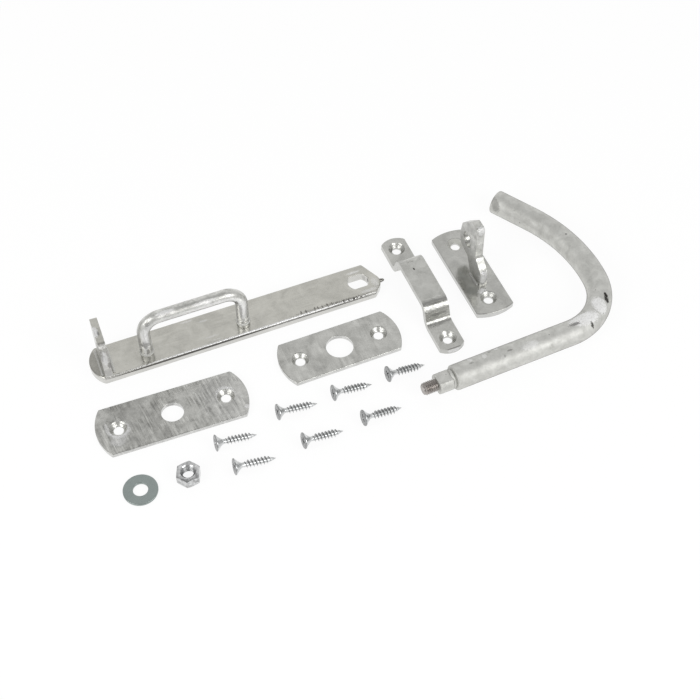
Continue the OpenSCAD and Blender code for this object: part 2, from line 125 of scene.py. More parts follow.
class LatchSpindleSettings(bpy.types.PropertyGroup):
    """Sizes of the turned end of the bow handle"""

    neck_diameter: length("Neck diameter", "Diameter of the turned neck", 12.6)
    neck_flats: length("Across the flats", "Distance between the neck's two flats", 9.8)
    collar_length: length("Collar length", "Round collar behind the flats", 2.2)
    flats_length: length("Flats length", "Length of the two flats", 8.8)
    thread_diameter: length("Thread diameter", "Diameter over the thread's crests", 8.0)
    core_diameter: length("Thread core", "Diameter at the thread's roots", 6.65)
    thread_pitch: length("Thread pitch", "Distance from crest to crest", 1.25)
    thread_length: length("Thread length", "Length of the threaded tip", 9.3)


class LatchScrewSettings(bpy.types.PropertyGroup):
    """Sizes of the countersunk wood screws"""

    screw_length: length("Length", "Overall length of a screw", 25.0)
    head_diameter: length("Head diameter", "Diameter of the countersunk head", 10.0)
    head_rim: length("Head rim", "Height of the head's thin rim", 0.6)
    thread_diameter: length("Thread diameter", "Diameter over the thread's crests", 5.0)
    core_diameter: length("Core diameter", "Diameter of the core between the crests", 2.8)
    thread_pitch: length("Thread pitch", "Distance from crest to crest", 2.05)
    thread_start: length("Thread start", "Distance from the head's face to the first crest", 5.8)
    ridge_width: length("Ridge width", "Width of the thread's ridge at its foot", 0.62)
    tip_length: length("Tip length", "Length of the pointed tip", 4.5)
    recess_length: length("Recess length", "Width over the cross recess", 4.8)
    recess_width: length("Recess wing", "Width of one wing of the cross recess", 0.95)
    recess_depth: length("Recess depth", "Depth of the cross recess", 2.3)


class LatchFinishSettings(bpy.types.PropertyGroup):
    """Colours of the zinc"""

    zinc_light: colour("Light zinc", "Lighter patches of the dipped zinc", (0.66, 0.66, 0.63))
    zinc_dark: colour("Dark zinc", "Darker patches of the dipped zinc", (0.36, 0.36, 0.34))
    warm_tint: colour("Bar tint", "Warmer tint of the zinc on the bar", (1.0, 0.987, 0.955))
    frost_light: colour("Light frost", "Lighter patches of the dull zinc on the bow", (0.80, 0.80, 0.77))
    frost_dark: colour("Dark frost", "Darker patches of the dull zinc on the bow", (0.50, 0.50, 0.475))
    # This colour also paints the shade and the dark reflections
    zinc_bare_and_shade: colour("Ragged spot", "Places where the zinc has flaked or burnt dark", (0.055, 0.05, 0.045))
    plating_light: colour("Light plating", "Bright plating of the screws and the nut", (0.86, 0.87, 0.87))
    plating_dark: colour("Dark plating", "Greyer plating in the screws' grooves", (0.42, 0.43, 0.43))
    crest_dark: colour("Grey plating", "Grey of the plating in recesses and shade", (0.22, 0.22, 0.22))
    washer_light: colour("Washer", "Blue plating of the washer", (0.36, 0.405, 0.39))
    washer_dark: colour("Washer shade", "Darker blue plating of the washer", (0.27, 0.31, 0.30))
    thread_light: colour("Thread crest", "Rubbed crests of the spindle's thread", (0.68, 0.65, 0.62))
    thread_dark: colour("Thread root", "Brown roots of the spindle's thread", (0.13, 0.11, 0.10))


class LatchStageSettings(bpy.types.PropertyGroup):
    """Camera, floor and light"""

    lens: FloatProperty(
        name="Lens", description="Focal length on a 36 mm sensor", default=65.83, min=1.0, unit="CAMERA"
    )
    camera_place: FloatVectorProperty(
        name="Camera place", description="Where the camera stands",
        default=(-0.1929, -0.4565, 0.6225), size=3, subtype="TRANSLATION", unit="LENGTH",
    )
    camera_target: FloatVectorProperty(
        name="Camera target", description="Point in the middle of the view",
        default=(-0.00509, -0.0078, 0.0), size=3, subtype="TRANSLATION", unit="LENGTH",
    )
    floor_size: length("Floor size", "Width of the pale floor", 60000.0)
    floor_colour: colour("Floor", "Colour of the floor", (0.92, 0.92, 0.915))
    floor_lift: share("Floor lift", "Share of plain white that lightens the floor's shadows", 0.89)
    side_tone: share("Side tone", "Grey of the studio to the left and right of the view", 0.62)
    lamp_power: FloatProperty(
        name="Lamp power", description="Power of each of the two soft lamps", default=7.0, min=0.0,
        unit="POWER",
    )
    lamp_width: length("Lamp width", "Width of each soft lamp", 900.0)
    lamp_depth: length("Lamp depth", "Height of each soft lamp's face", 750.0)
    lamp_distance: length("Lamp distance", "Distance of each soft lamp from the middle of the view", 1500.0)
    lamp_height: angle("Lamp height", "Angle of the soft lamps above the floor", 34.0)
    lamp_spread: angle("Lamp spread", "Angle of each soft lamp to the left or right of the camera", 50.0)


class LatchSettings(bpy.types.PropertyGroup):
    """All settings of the latch kit"""

    edges: PointerProperty(type=LatchEdgeSettings)
    bow: PointerProperty(type=LatchBowSettings)
    spindle: PointerProperty(type=LatchSpindleSettings)
    screws: PointerProperty(type=LatchScrewSettings)
    finish: PointerProperty(type=LatchFinishSettings)
    stage: PointerProperty(type=LatchStageSettings)


# Node trees

class Wire:
    """A value in a node tree. Plain arithmetic on it adds Math nodes."""

    def __init__(self, tree, socket):
        self.tree = tree
        self.socket = socket

    def math(self, operation, *others, clamp=False):
        node = self.tree.nodes.new("ShaderNodeMath")
        node.operation = operation
        node.use_clamp = clamp
        for slot, value in zip(node.inputs, (self, *others)):
            feed(self.tree, slot, value)
        return Wire(self.tree, node.outputs[0])

    def __add__(self, other):
        return self.math("ADD", other)

    def __sub__(self, other):
        return self.math("SUBTRACT", other)

    def __mul__(self, other):
        return self.math("MULTIPLY", other)

    def __truediv__(self, other):
        return self.math("DIVIDE", other)

    def ramp(self, low, high):
        """0 at low and 1 at high, whichever is larger, with a smooth step between them."""
        node = self.tree.nodes.new("ShaderNodeMapRange")
        node.interpolation_type = "SMOOTHSTEP"
        for slot, value in zip(node.inputs, (self, low, high, 0.0, 1.0)):
            feed(self.tree, slot, value)
        return Wire(self.tree, node.outputs["Result"])


def feed(tree, slot, value):
    """Links a wire or a socket to an input, or sets a plain value on it."""
    if isinstance(value, Wire):
        tree.links.new(value.socket, slot)
    elif isinstance(value, bpy.types.NodeSocket):
        tree.links.new(value, slot)
    else:
        slot.default_value = value


def add(tree, kind, inputs=None, **facts):
    """Adds a node, sets its options and feeds its inputs by name or number."""
    node = tree.nodes.new(kind)
    for name, value in facts.items():
        setattr(node, name, value)
    for key, value in (inputs or {}).items():
        feed(tree, node.inputs[key], value)
    return node


def new_tree(name, kind, inputs, outputs):
    """A node group with named sockets. Returns the tree, its input sockets by name and its output node."""
    tree = bpy.data.node_groups.new(name, kind)
    for label, socket, default in inputs:
        item = tree.interface.new_socket(name=label, in_out="INPUT", socket_type="NodeSocket" + socket)
        if default is not None:
            item.default_value = default
    for label, socket in outputs:
        tree.interface.new_socket(name=label, in_out="OUTPUT", socket_type="NodeSocket" + socket)
    source = tree.nodes.new("NodeGroupInput")
    target = tree.nodes.new("NodeGroupOutput")
    return tree, {s.name: s for s in source.outputs if s.name}, target


def noise(tree, vector, scale, detail=3.0, roughness=0.5, distortion=0.0):
    node = add(tree, "ShaderNodeTexNoise", {
        "Vector": vector, "Scale": scale, "Detail": detail, "Roughness": roughness, "Distortion": distortion,
    })
    return Wire(tree, node.outputs["Fac"])


def scaled(tree, vector, *amounts):
    """A vector with each part multiplied by its own amount."""
    parts = add(tree, "ShaderNodeSeparateXYZ", {0: vector}).outputs
    products = {i: Wire(tree, parts[i]) * amount for i, amount in enumerate(amounts)}
    return add(tree, "ShaderNodeCombineXYZ", products).outputs[0]


def mixed(tree, factor, low, high):
    """A colour between two others."""
    node = add(tree, "ShaderNodeMix", {"Factor": factor, "A": low, "B": high}, data_type="RGBA")
    return node.outputs["Result"]


def inverse(tree, socket):
    """One over a value, which turns the size of a pattern into its scale."""
    return Wire(tree, socket).math("POWER", -1.0)


# Shared surface effects

RAGGED = 0.6            # how ragged a spot's edge is, unless a mark says otherwise
RAGGED_SCALE = 1300.0   # of the noise that frays a spot's edge
CRYSTAL_SCALE = 1100.0  # of the crystals in a pale bloom
CRYSTAL_SHARE = 0.45    # of a bloom's strength that comes and goes with its crystals
PALE_LIFT = 1.28        # how much lighter than the light zinc a pale mark is
BLOOM_RISE = 1.2        # height of a bloom against the skin's own bumps
BLOOM_ROUGHNESS = 0.15  # added where the blooms and painted highlights lie
BLOOM_CHALK = 0.35      # share of the metal's shine that a bloom takes
SPECK_RISE = 2.0        # height of a speck against the skin's own bumps
DARK_ROUGHNESS = 0.3    # added where the zinc is dark


def zinc_skin_group():
    """Cloudy patches with a fine grain inside them, as dipped zinc has."""
    tree, given, out = new_tree("Zinc skin", "ShaderNodeTree", [
        ("Vector", "Vector", None), ("Patch size", "Float", 0.006), ("Grain size", "Float", 0.0011),
        ("Contrast", "Float", 0.5), ("Grain share", "Float", 0.4),
    ], [("Shade", "Float"), ("Height", "Float")])
    patch = noise(tree, given["Vector"], inverse(tree, given["Patch size"]), 4.0, 0.55, 0.6)
    grain = noise(tree, given["Vector"], inverse(tree, given["Grain size"]), 3.0, 0.6)
    blend = (patch - 0.5) + (grain - 0.5) * given["Grain share"]
    feed(tree, out.inputs["Shade"], (blend * given["Contrast"] * 2.0).math("ADD", 0.5, clamp=True))
    feed(tree, out.inputs["Height"], patch * 0.7 + grain * 0.3)
    return tree


def streak_group():
    """Long runs that the zinc leaves along the vector's X as it drains."""
    tree, given, out = new_tree("Zinc runs", "ShaderNodeTree", [
        ("Vector", "Vector", None), ("Run width", "Float", 0.0016), ("Run length", "Float", 0.02),
        ("Strength", "Float", 0.3),
    ], [("Shade", "Float"), ("Height", "Float")])
    along = inverse(tree, given["Run length"])
    across = inverse(tree, given["Run width"])
    drawn = scaled(tree, given["Vector"], along, across, across)
    runs = noise(tree, drawn, 1.0, 3.0, 0.65, 0.35)
    patches = noise(tree, given["Vector"], along * 2.2, 2.0).ramp(0.35, 0.62)
    spread = (runs - 0.5) * patches
    feed(tree, out.inputs["Shade"], spread * given["Strength"] * 2.6)
    feed(tree, out.inputs["Height"], spread + 0.5)
    return tree


def speck_group():
    """Small scattered pits and dross grains."""
    tree, given, out = new_tree("Dross specks", "ShaderNodeTree", [
        ("Vector", "Vector", None), ("Spacing", "Float", 0.004), ("Size", "Float", 0.12),
        ("Share", "Float", 0.3),
    ], [("Mask", "Float"), ("Tone", "Float")])
    cells = add(tree, "ShaderNodeTexVoronoi", {
        "Vector": given["Vector"], "Scale": inverse(tree, given["Spacing"]), "Randomness": 1.0,
    })
    picked = add(tree, "ShaderNodeSeparateColor", {0: cells.outputs["Color"]})
    near = Wire(tree, cells.outputs["Distance"]).ramp(given["Size"], Wire(tree, given["Size"]) * 0.4)
    kept = Wire(tree, picked.outputs[0]).math("LESS_THAN", given["Share"])
    feed(tree, out.inputs["Mask"], near * kept)
    feed(tree, out.inputs["Tone"], picked.outputs[1])
    return tree


def ragged_spot_group():
    """One ragged spot at a named place, such as a burnt or flaked patch, painted shade or a painted
    highlight.
    """
    tree, given, out = new_tree("Ragged spot", "ShaderNodeTree", [
        ("Vector", "Vector", None), ("Centre", "Vector", None), ("Reach", "Vector", (0.002, 0.001, 0.002)),
        ("Ragged", "Float", RAGGED),
    ], [("Mask", "Float")])
    offset = add(tree, "ShaderNodeVectorMath", {0: given["Vector"], 1: given["Centre"]}, operation="SUBTRACT")
    shrunk = add(tree, "ShaderNodeVectorMath", {0: offset.outputs[0], 1: given["Reach"]}, operation="DIVIDE")
    far = add(tree, "ShaderNodeVectorMath", {0: shrunk.outputs[0]}, operation="LENGTH")
    rough = (noise(tree, given["Vector"], RAGGED_SCALE, 3.0, 0.6) - 0.5) * given["Ragged"] * 2.0
    feed(tree, out.inputs["Mask"], (Wire(tree, far.outputs["Value"]) + rough).ramp(1.1, 0.75))
    return tree


def shared_groups():
    """Each shared effect, built once."""
    makers = {
        "Zinc skin": zinc_skin_group, "Zinc runs": streak_group,
        "Dross specks": speck_group, "Ragged spot": ragged_spot_group,
    }
    return {name: bpy.data.node_groups.get(name) or make() for name, make in makers.items()}


def place_group(tree, name, inputs):
    """Places a shared effect in a material with its own values."""
    node = tree.nodes.new("ShaderNodeGroup")
    node.node_tree = shared_groups()[name]
    for key, value in inputs.items():
        feed(tree, node.inputs[key], value)
    return node.outputs


def stronger(mask, other):
    """The stronger of two masks, of which the first may be None."""
    return other if mask is None else mask.math("MAXIMUM", other)


def spot_mask(tree, place, spots):
    """The strongest of several spots at each point, or None without spots."""
    strongest = None
    for centre, reach, amount, *ragged in spots:
        spot = place_group(tree, "Ragged spot", {
            "Vector": place, "Centre": [c * MM for c in centre], "Reach": [r * MM for r in reach],
            "Ragged": ragged[0] if ragged else RAGGED,
        })
        strongest = stronger(strongest, Wire(tree, spot["Mask"]) * amount)
    return strongest


def steel_material(name, light, dark, roughness, patch=6.0, grain=1.1, contrast=0.5, runs=None, specks=None,
                   spots=(), blooms=(), bare=(0.05, 0.05, 0.045), relief=0.05, polish=0.12, sides=0.0,
                   rim=0.0, metal=1.0):
    """A metal with patches, runs, specks, dark spots and pale crystal blooms. The spots and blooms also paint
    shade, highlights and reflections. Lengths are in millimetres.

    runs is (turn, width, length, strength), and specks is (spacing, size, share, darkness), with the size
    as a share of the spacing. spots and blooms hold (centre, reach, amount), and a fourth value where
    the mark is more or less ragged than usual. relief is the depth of the bump, sides paints a lighter
    reflection on the upright faces, and rim paints shade where the metal turns away from the eye. bare is
    the colour of the specks, the dark spots, the painted shade and the rim. metal is 1 for clean metal and
    less for a chalky skin.
    """
    material = bpy.data.materials.new(name)
    material.use_nodes = True
    tree = material.node_tree
    tree.nodes.clear()
    place = add(tree, "ShaderNodeTexCoord").outputs["Object"]
    skin = place_group(tree, "Zinc skin", {
        "Vector": place, "Patch size": patch * MM, "Grain size": grain * MM, "Contrast": contrast,
    })
    tone, height = Wire(tree, skin["Shade"]), Wire(tree, skin["Height"])
    if runs:
        turn, width, run_length, strength = runs
        turned = add(tree, "ShaderNodeMapping", {"Vector": place, "Rotation": (0.0, 0.0, turn)})
        streaks = place_group(tree, "Zinc runs", {
            "Vector": turned.outputs[0], "Run width": width * MM, "Run length": run_length * MM,
            "Strength": strength,
        })
        tone = tone + streaks["Shade"]
        height = height + streaks["Height"]
    base = mixed(tree, tone, (*dark, 1.0), (*light, 1.0))
    pale = (*[min(1.0, light[1] * PALE_LIFT)] * 3, 1.0)
    # Painted reflection: the upright faces are lightened towards the pale tone
    if sides:
        normal = add(tree, "ShaderNodeNewGeometry").outputs["True Normal"]
        up = Wire(tree, add(tree, "ShaderNodeSeparateXYZ", {0: normal}).outputs[2])
        base = mixed(tree, up.math("ABSOLUTE").ramp(0.45, 0.15) * sides, base, pale)
    # The blooms are pale crystal zinc, and some paint highlights and reflections
    bloom_and_highlight = spot_mask(tree, place, blooms)
    if bloom_and_highlight is not None:
        crystals = noise(tree, place, CRYSTAL_SCALE, 3.0, 0.65).ramp(0.36, 0.58)
        bloom_and_highlight = bloom_and_highlight * (crystals * CRYSTAL_SHARE + (1.0 - CRYSTAL_SHARE))
        base = mixed(tree, bloom_and_highlight, base, pale)
        height = height + bloom_and_highlight * BLOOM_RISE
    darkened = None
    if specks:
        spacing, size, part, darkness = specks
        dots = place_group(tree, "Dross specks", {
            "Vector": place, "Spacing": spacing * MM, "Size": size, "Share": part,
        })
        darkened = Wire(tree, dots["Mask"]) * darkness
        height = height + Wire(tree, dots["Mask"]) * dots["Tone"] * SPECK_RISE
    # The spots are burnt and bare zinc, and some paint shade and dark reflections
    burnt = spot_mask(tree, place, spots)
    if burnt is not None:
        darkened = stronger(darkened, burnt)
    # Painted shade where the metal turns away from the eye
    if rim:
        facing = Wire(tree, add(tree, "ShaderNodeLayerWeight", {"Blend": 0.5}).outputs["Facing"])
        darkened = stronger(darkened, facing.ramp(0.62, 0.98) * rim)
    dullness = (tone - 0.5) * -polish * 2.0 + roughness
    if bloom_and_highlight is not None:
        dullness = dullness + bloom_and_highlight * BLOOM_ROUGHNESS
        metal = bloom_and_highlight * (metal * -BLOOM_CHALK) + metal
    if darkened is not None:
        base = mixed(tree, darkened, base, (*bare, 1.0))
        dullness = dullness + darkened * DARK_ROUGHNESS
    bump = add(tree, "ShaderNodeBump", {"Height": height, "Distance": relief * MM, "Strength": 1.0})
    shader = add(tree, "ShaderNodeBsdfPrincipled", {
        "Base Color": base, "Metallic": metal, "Roughness": dullness, "Normal": bump.outputs[0],
    })
    add(tree, "ShaderNodeOutputMaterial", {"Surface": shader.outputs[0]})
    return material


def toned(colour_value, amount):
    """A colour made lighter or darker."""
    return [c * amount for c in colour_value]


# Geometry trees

def rod_tree():
    """Sweeps a lumpy round rod along the edges of a line, whose radius attribute gives the rod's."""
    tree, given, out = new_tree("Zinc coated rod", "GeometryNodeTree", [
        ("Path", "Geometry", None), ("Sides", "Int", 48), ("Lump height", "Float", 0.0001),
        ("Lump size", "Float", 0.006), ("Ripple", "Float", 0.0), ("Ripple pitch", "Float", 0.0012),
        ("Material", "Material", None),
    ], [("Geometry", "Geometry")])
    curve = add(tree, "GeometryNodeMeshToCurve", {"Mesh": given["Path"]})
    run = add(tree, "GeometryNodeSplineParameter").outputs["Length"]
    radius = Wire(tree, add(tree, "GeometryNodeInputRadius").outputs[0])
    wave = (Wire(tree, run) / given["Ripple pitch"] * (2.0 * pi)).math("SINE") * given["Ripple"] + 1.0
    ring = add(tree, "GeometryNodeCurvePrimitiveCircle", {"Resolution": given["Sides"], "Radius": 1.0})
    swept = add(tree, "GeometryNodeCurveToMesh", {
        "Curve": curve.outputs[0], "Profile Curve": ring.outputs["Curve"], "Scale": radius * wave,
        "Fill Caps": True,
    })
    place = add(tree, "GeometryNodeInputPosition").outputs[0]
    lumps = noise(tree, place, inverse(tree, given["Lump size"]), 3.0, 0.5)
    sink = lumps * given["Lump height"] * -1.0
    push = add(tree, "ShaderNodeVectorMath", {
        0: add(tree, "GeometryNodeInputNormal").outputs[0], "Scale": sink,
    }, operation="SCALE")
    moved = add(tree, "GeometryNodeSetPosition", {"Geometry": swept.outputs[0], "Offset": push.outputs[0]})
    finish_geometry(tree, moved.outputs[0], given["Material"], out)
    return tree


def thread_tree():
    """Winds a sharp ridge up round Z. It dies out towards its end, on Z itself if it is pointed."""
    tree, given, out = new_tree("Screw thread", "GeometryNodeTree", [
        ("Anchor", "Geometry", None), ("Core radius", "Float", 0.0015), ("Crest radius", "Float", 0.0025),
        ("Pitch", "Float", 0.0017), ("Length", "Float", 0.018), ("Tip length", "Float", 0.006),
        ("Ridge width", "Float", 0.0009), ("Steps a turn", "Int", 20), ("Pointed", "Float", 1.0),
        ("Material", "Material", None),
    ], [("Geometry", "Geometry")])
    turns = Wire(tree, given["Length"]) / given["Pitch"]
    line = add(tree, "GeometryNodeCurvePrimitiveLine", {"Start": (0.0, 0.0, 0.0), "End": (0.0, 0.0, 1.0)})
    points = add(tree, "GeometryNodeResampleCurve", {
        "Curve": line.outputs[0], "Count": (turns * given["Steps a turn"]).math("CEIL"),
    })
    part = Wire(tree, add(tree, "GeometryNodeSplineParameter").outputs["Factor"])
    turn = part * turns * (2.0 * pi)
    rise = part * given["Length"]
    left = (Wire(tree, given["Length"]) - rise) / given["Tip length"]
    taper = left.math("MINIMUM", 1.0)
    run_in = (rise / given["Pitch"]).math("MINIMUM", 1.0)
    full = (Wire(tree, given["Crest radius"]) - given["Core radius"]).math("ABSOLUTE")
    depth = full * taper.math("POWER", 0.6) * run_in
    reach = ((taper - 1.0) * given["Pointed"] + 1.0) * given["Core radius"]
    spiral = add(tree, "ShaderNodeCombineXYZ", {
        0: turn.math("COSINE") * reach, 1: turn.math("SINE") * reach, 2: rise,
    }).outputs[0]
    wound = add(tree, "GeometryNodeSetPosition", {"Geometry": points.outputs[0], "Position": spiral})
    upright = add(tree, "GeometryNodeSetCurveNormal", {"Curve": wound.outputs[0]}, mode="Z_UP")
    ridge = add(tree, "GeometryNodeCurvePrimitiveCircle", {"Resolution": 4, "Radius": 1.0})
    squeeze = add(tree, "ShaderNodeCombineXYZ", {
        0: 1.0, 1: Wire(tree, given["Ridge width"]) / full * 0.5, 2: 1.0,
    }).outputs[0]
    slim = add(tree, "GeometryNodeTransform", {"Geometry": ridge.outputs["Curve"], "Scale": squeeze})
    swept = add(tree, "GeometryNodeCurveToMesh", {
        "Curve": upright.outputs[0], "Profile Curve": slim.outputs[0],
        "Scale": depth.math("MAXIMUM", 0.02 * MM), "Fill Caps": True,
    })
    finish_geometry(tree, swept.outputs[0], given["Material"], out, smooth=False)
    return tree


def finish_geometry(tree, geometry, material, out, smooth=True):
    """The end of each geometry tree: shading, Realize Instances and Set Material."""
    shaded = add(tree, "GeometryNodeSetShadeSmooth", {"Geometry": geometry, "Shade Smooth": smooth})
    real = add(tree, "GeometryNodeRealizeInstances", {"Geometry": shaded.outputs[0]})
    coated = add(tree, "GeometryNodeSetMaterial", {"Geometry": real.outputs[0], "Material": material})
    feed(tree, out.inputs["Geometry"], coated.outputs[0])


def run_tree(mesh, name, make, values):
    """Runs a geometry tree, which is built once, on a mesh and returns the plain mesh that it makes."""
    tree = bpy.data.node_groups.get(name) or make()
    obj = scratch_object(mesh)
    modifier = obj.modifiers.new(tree.name, "NODES")
    modifier.node_group = tree
    for item in tree.interface.items_tree:
        if item.in_out == "INPUT" and item.name in values:
            modifier[item.identifier] = values[item.name]
    return plain_mesh(obj)


def scratch_object(mesh):
    obj = bpy.data.objects.new("scratch", mesh)
    bpy.context.scene.collection.objects.link(obj)
    return obj


def plain_mesh(obj):
    """The object's mesh with its modifiers applied. The object itself is removed."""
    bpy.context.view_layer.update()
    graph = bpy.context.evaluated_depsgraph_get()
    mesh = bpy.data.meshes.new_from_object(obj.evaluated_get(graph), depsgraph=graph)
    bpy.data.objects.remove(obj)
    return mesh


def line_mesh(lines):
    """A mesh of edges for the rod tree. Each line is (points, radii, closed) in metres."""
    mesh = bpy.data.meshes.new("path")
    points, radii, edges = [], [], []
    for line, sizes, closed in lines:
        start = len(points)
        points += [tuple(p) for p in line]
        radii += sizes
        edges += [(start + i, start + i + 1) for i in range(len(line) - 1)]
        if closed:
            edges.append((start + len(line) - 1, start))
    mesh.from_pydata(points, edges, [])
    attribute = mesh.attributes.new("radius", "FLOAT", "POINT")
    attribute.data.foreach_set("value", radii)
    return mesh


def rods(lines, material, sides, lump_height, lump_size, ripple=0.0, ripple_pitch=1.2 * MM):
    """Rods or weld beads swept along lines."""
    return run_tree(line_mesh(lines), "Zinc coated rod", rod_tree, {
        "Sides": sides, "Lump height": lump_height, "Lump size": lump_size,
        "Ripple": ripple, "Ripple pitch": ripple_pitch, "Material": material,
    })


def thread_ridge(core, crest, pitch, run, tip, width, material, steps=20, pointed=1.0):
    """A thread's ridge, from z = 0 upwards."""
    return run_tree(bpy.data.meshes.new("anchor"), "Screw thread", thread_tree, {
        "Core radius": core, "Crest radius": crest, "Pitch": pitch, "Length": run, "Tip length": tip,
        "Ridge width": width, "Steps a turn": steps, "Pointed": pointed, "Material": material,
    })


# Mesh helpers

def joined(name, parts):
    """One mesh from (mesh, matrix, material number) parts, with each part's faces pointing outwards.

    A part whose number is None keeps the numbers that its faces have.
    """
    bm = bmesh.new()
    for mesh, matrix, number in parts:
        part = bmesh.new()
        part.from_mesh(mesh)
        part.transform(matrix)
        bmesh.ops.recalc_face_normals(part, faces=part.faces)
        for face in part.faces:
            face.material_index = face.material_index if number is None else number
        copy = bpy.data.meshes.new("part")
        part.to_mesh(copy)
        part.free()
        bm.from_mesh(copy)
    whole = bpy.data.meshes.new(name)
    bm.to_mesh(whole)
    bm.free()
    return whole


def steps_round(count):
    """Evenly spaced angles round a full turn."""
    return [2 * pi * i / count for i in range(count)]


def steps_along(start, end, spacing):
    """Evenly spaced points from start to end, both included."""
    count = max(1, ceil((end - start).length / spacing))
    return [start.lerp(end, i / count) for i in range(count + 1)]


def closed_mesh(bm, name):
    """The finished bmesh as a plain mesh whose faces point outwards."""
    bmesh.ops.recalc_face_normals(bm, faces=bm.faces)
    mesh = bpy.data.meshes.new(name)
    bm.to_mesh(mesh)
    bm.free()
    return mesh


def lathe(profile, sides=64, smooth_angle=35.0):
    """Turns (radius, height) points round Z. Points at radius 0 close the ends."""
    bm = bmesh.new()
    rings = []
    for radius, height in profile:
        turns = steps_round(sides) if radius > 0 else (0.0,)
        rings.append([bm.verts.new((radius * cos(a), radius * sin(a), height)) for a in turns])
    for low, high in zip(rings, rings[1:]):
        for i in range(sides):
            j = (i + 1) % sides
            if len(low) == 1:
                bm.faces.new((low[0], high[i], high[j]))
            elif len(high) == 1:
                bm.faces.new((low[j], low[i], high[0]))
            else:
                bm.faces.new((low[i], low[j], high[j], high[i]))
    mesh = closed_mesh(bm, "lathe")
    shade(mesh, smooth_angle)
    return mesh


def loft(low_ring, high_ring):
    """A closed solid between two rings of points that lie one above the other."""
    bm = bmesh.new()
    low, high = ([bm.verts.new(point) for point in ring] for ring in (low_ring, high_ring))
    bm.faces.new(low[::-1])
    bm.faces.new(high)
    for i in range(len(low)):
        j = (i + 1) % len(low)
        bm.faces.new((low[i], low[j], high[j], high[i]))
    return closed_mesh(bm, "loft")


def prism(outline, low, high):
    """A closed prism from an outline of (x, y) points."""
    return loft(*([(x, y, z) for x, y in outline] for z in (low, high)))


def shade(mesh, smooth_angle):
    """Smooth shading with a sharp edge wherever the faces turn by more than the angle."""
    mesh.polygons.foreach_set("use_smooth", [True] * len(mesh.polygons))
    mesh.set_sharp_from_angle(angle=radians(smooth_angle))
    mesh.update()


def cut(mesh, tool, operation):
    """The mesh with a closed tool mesh taken from it, or only what both share."""
    obj, other = scratch_object(mesh), scratch_object(tool)
    modifier = obj.modifiers.new("cut", "BOOLEAN")
    modifier.operation = operation
    modifier.solver = "EXACT"
    modifier.object = other
    result = plain_mesh(obj)
    bpy.data.objects.remove(other)
    return result


def bevelled(mesh, width, steps, edge_angle=28.0, weighted=False):
    """Rounds the sharp edges and keeps the flats flat."""
    obj = scratch_object(mesh)
    mesh.polygons.foreach_set("use_smooth", [True] * len(mesh.polygons))
    modifier = obj.modifiers.new("edge", "BEVEL")
    modifier.width = width
    modifier.segments = steps
    modifier.limit_method = "WEIGHT" if weighted else "ANGLE"
    modifier.angle_limit = radians(edge_angle)
    modifier.use_clamp_overlap = True
    modifier.loop_slide = False
    even = obj.modifiers.new("even", "WEIGHTED_NORMAL")
    even.mode = "FACE_AREA"
    even.keep_sharp = True
    return plain_mesh(obj)


def sharp_loops(bm, edge_angle):
    """Groups of sharp edges that touch each other."""
    sharp = {e for e in bm.edges if len(e.link_faces) == 2 and e.calc_face_angle(0.0) > edge_angle}
    while sharp:
        loop, queue = set(), [sharp.pop()]
        while queue:
            edge = queue.pop()
            loop.add(edge)
            for vert in edge.verts:
                for other in vert.link_edges:
                    if other in sharp:
                        sharp.discard(other)
                        queue.append(other)
        yield loop


CONE_EDGE = 6.0 * MM         # no facet of a screw hole's cone has a longer edge
BEND_EDGE = 12.0 * MM        # every facet of a bend has a longer edge
FLAT_ANGLE = radians(0.4)    # facets that differ by less are one face
SHARP_ANGLE = radians(26.0)  # an edge that turns by more gets rounded


def softened_copy(node, width, hole_share, hole_size=25.0 * MM, steps=3):
    """A CAD node's mesh with its edges rounded by the zinc, less so round its holes.

    A loop of sharp edges counts as a hole's if it spans less than hole_size. Facets of the screw holes'
    cones, which lean at about 45 degrees, are given the second material, and those of a bend the third.
    """
    bm = bmesh.new()
    bm.from_mesh(NODES[node].data)
    bmesh.ops.remove_doubles(bm, verts=bm.verts, dist=0.002 * MM)
    bmesh.ops.dissolve_limit(bm, angle_limit=FLAT_ANGLE, verts=bm.verts, edges=bm.edges)
    for face in bm.faces:
        slope, longest = abs(face.normal.z), max(e.calc_length() for e in face.edges)
        cone = 0.6 < slope < 0.8 and longest < CONE_EDGE
        bend = abs(face.normal.x) < 0.1 and 0.03 < slope < 0.999 and longest > BEND_EDGE
        face.material_index = 1 if cone else 2 if bend else 0
    layer = bm.edges.layers.float.new("bevel_weight_edge")
    for loop in sharp_loops(bm, SHARP_ANGLE):
        places = [v.co for e in loop for v in e.verts]
        span = max((a - places[0]).length for a in places)
        for edge in loop:
            edge[layer] = hole_share if span < hole_size else 1.0
    mesh = bpy.data.meshes.new(node)
    bm.to_mesh(mesh)
    bm.free()
    return bevelled(mesh, width, steps, weighted=True)


def piece(name, mesh, materials, body, slot, *nodes):
    """Makes the finished object, which stands for its CAD nodes and rides on their body."""
    mesh.name = name
    numbers = [face.material_index for face in mesh.polygons]
    mesh.materials.clear()
    for material in materials:
        mesh.materials.append(material)
    mesh.polygons.foreach_set("material_index", [n if n < len(materials) else 0 for n in numbers])
    obj = bpy.data.objects.new(name, mesh)
    bpy.context.scene.collection.objects.link(obj)
    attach(obj, body)
    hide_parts(*nodes)
    return obj


# The pieces

def hole_zinc(finish):
    """The lumpy zinc in the screw holes, which the plates share."""
    name = "Zinc in the screw holes"
    return bpy.data.materials.get(name) or steel_material(
        name, finish.zinc_light, finish.zinc_dark, 0.34, patch=2.2, grain=0.8, contrast=1.0,
        bare=finish.zinc_bare_and_shade, specks=(2.2, 0.16, 0.4, 0.6), relief=0.3,
    )


def warm_zinc(finish):
    """The light and dark zinc of the bar, with its warmer tint."""
    return [[c * t for c, t in zip(tone, finish.warm_tint)] for tone in (finish.zinc_light, finish.zinc_dark)]


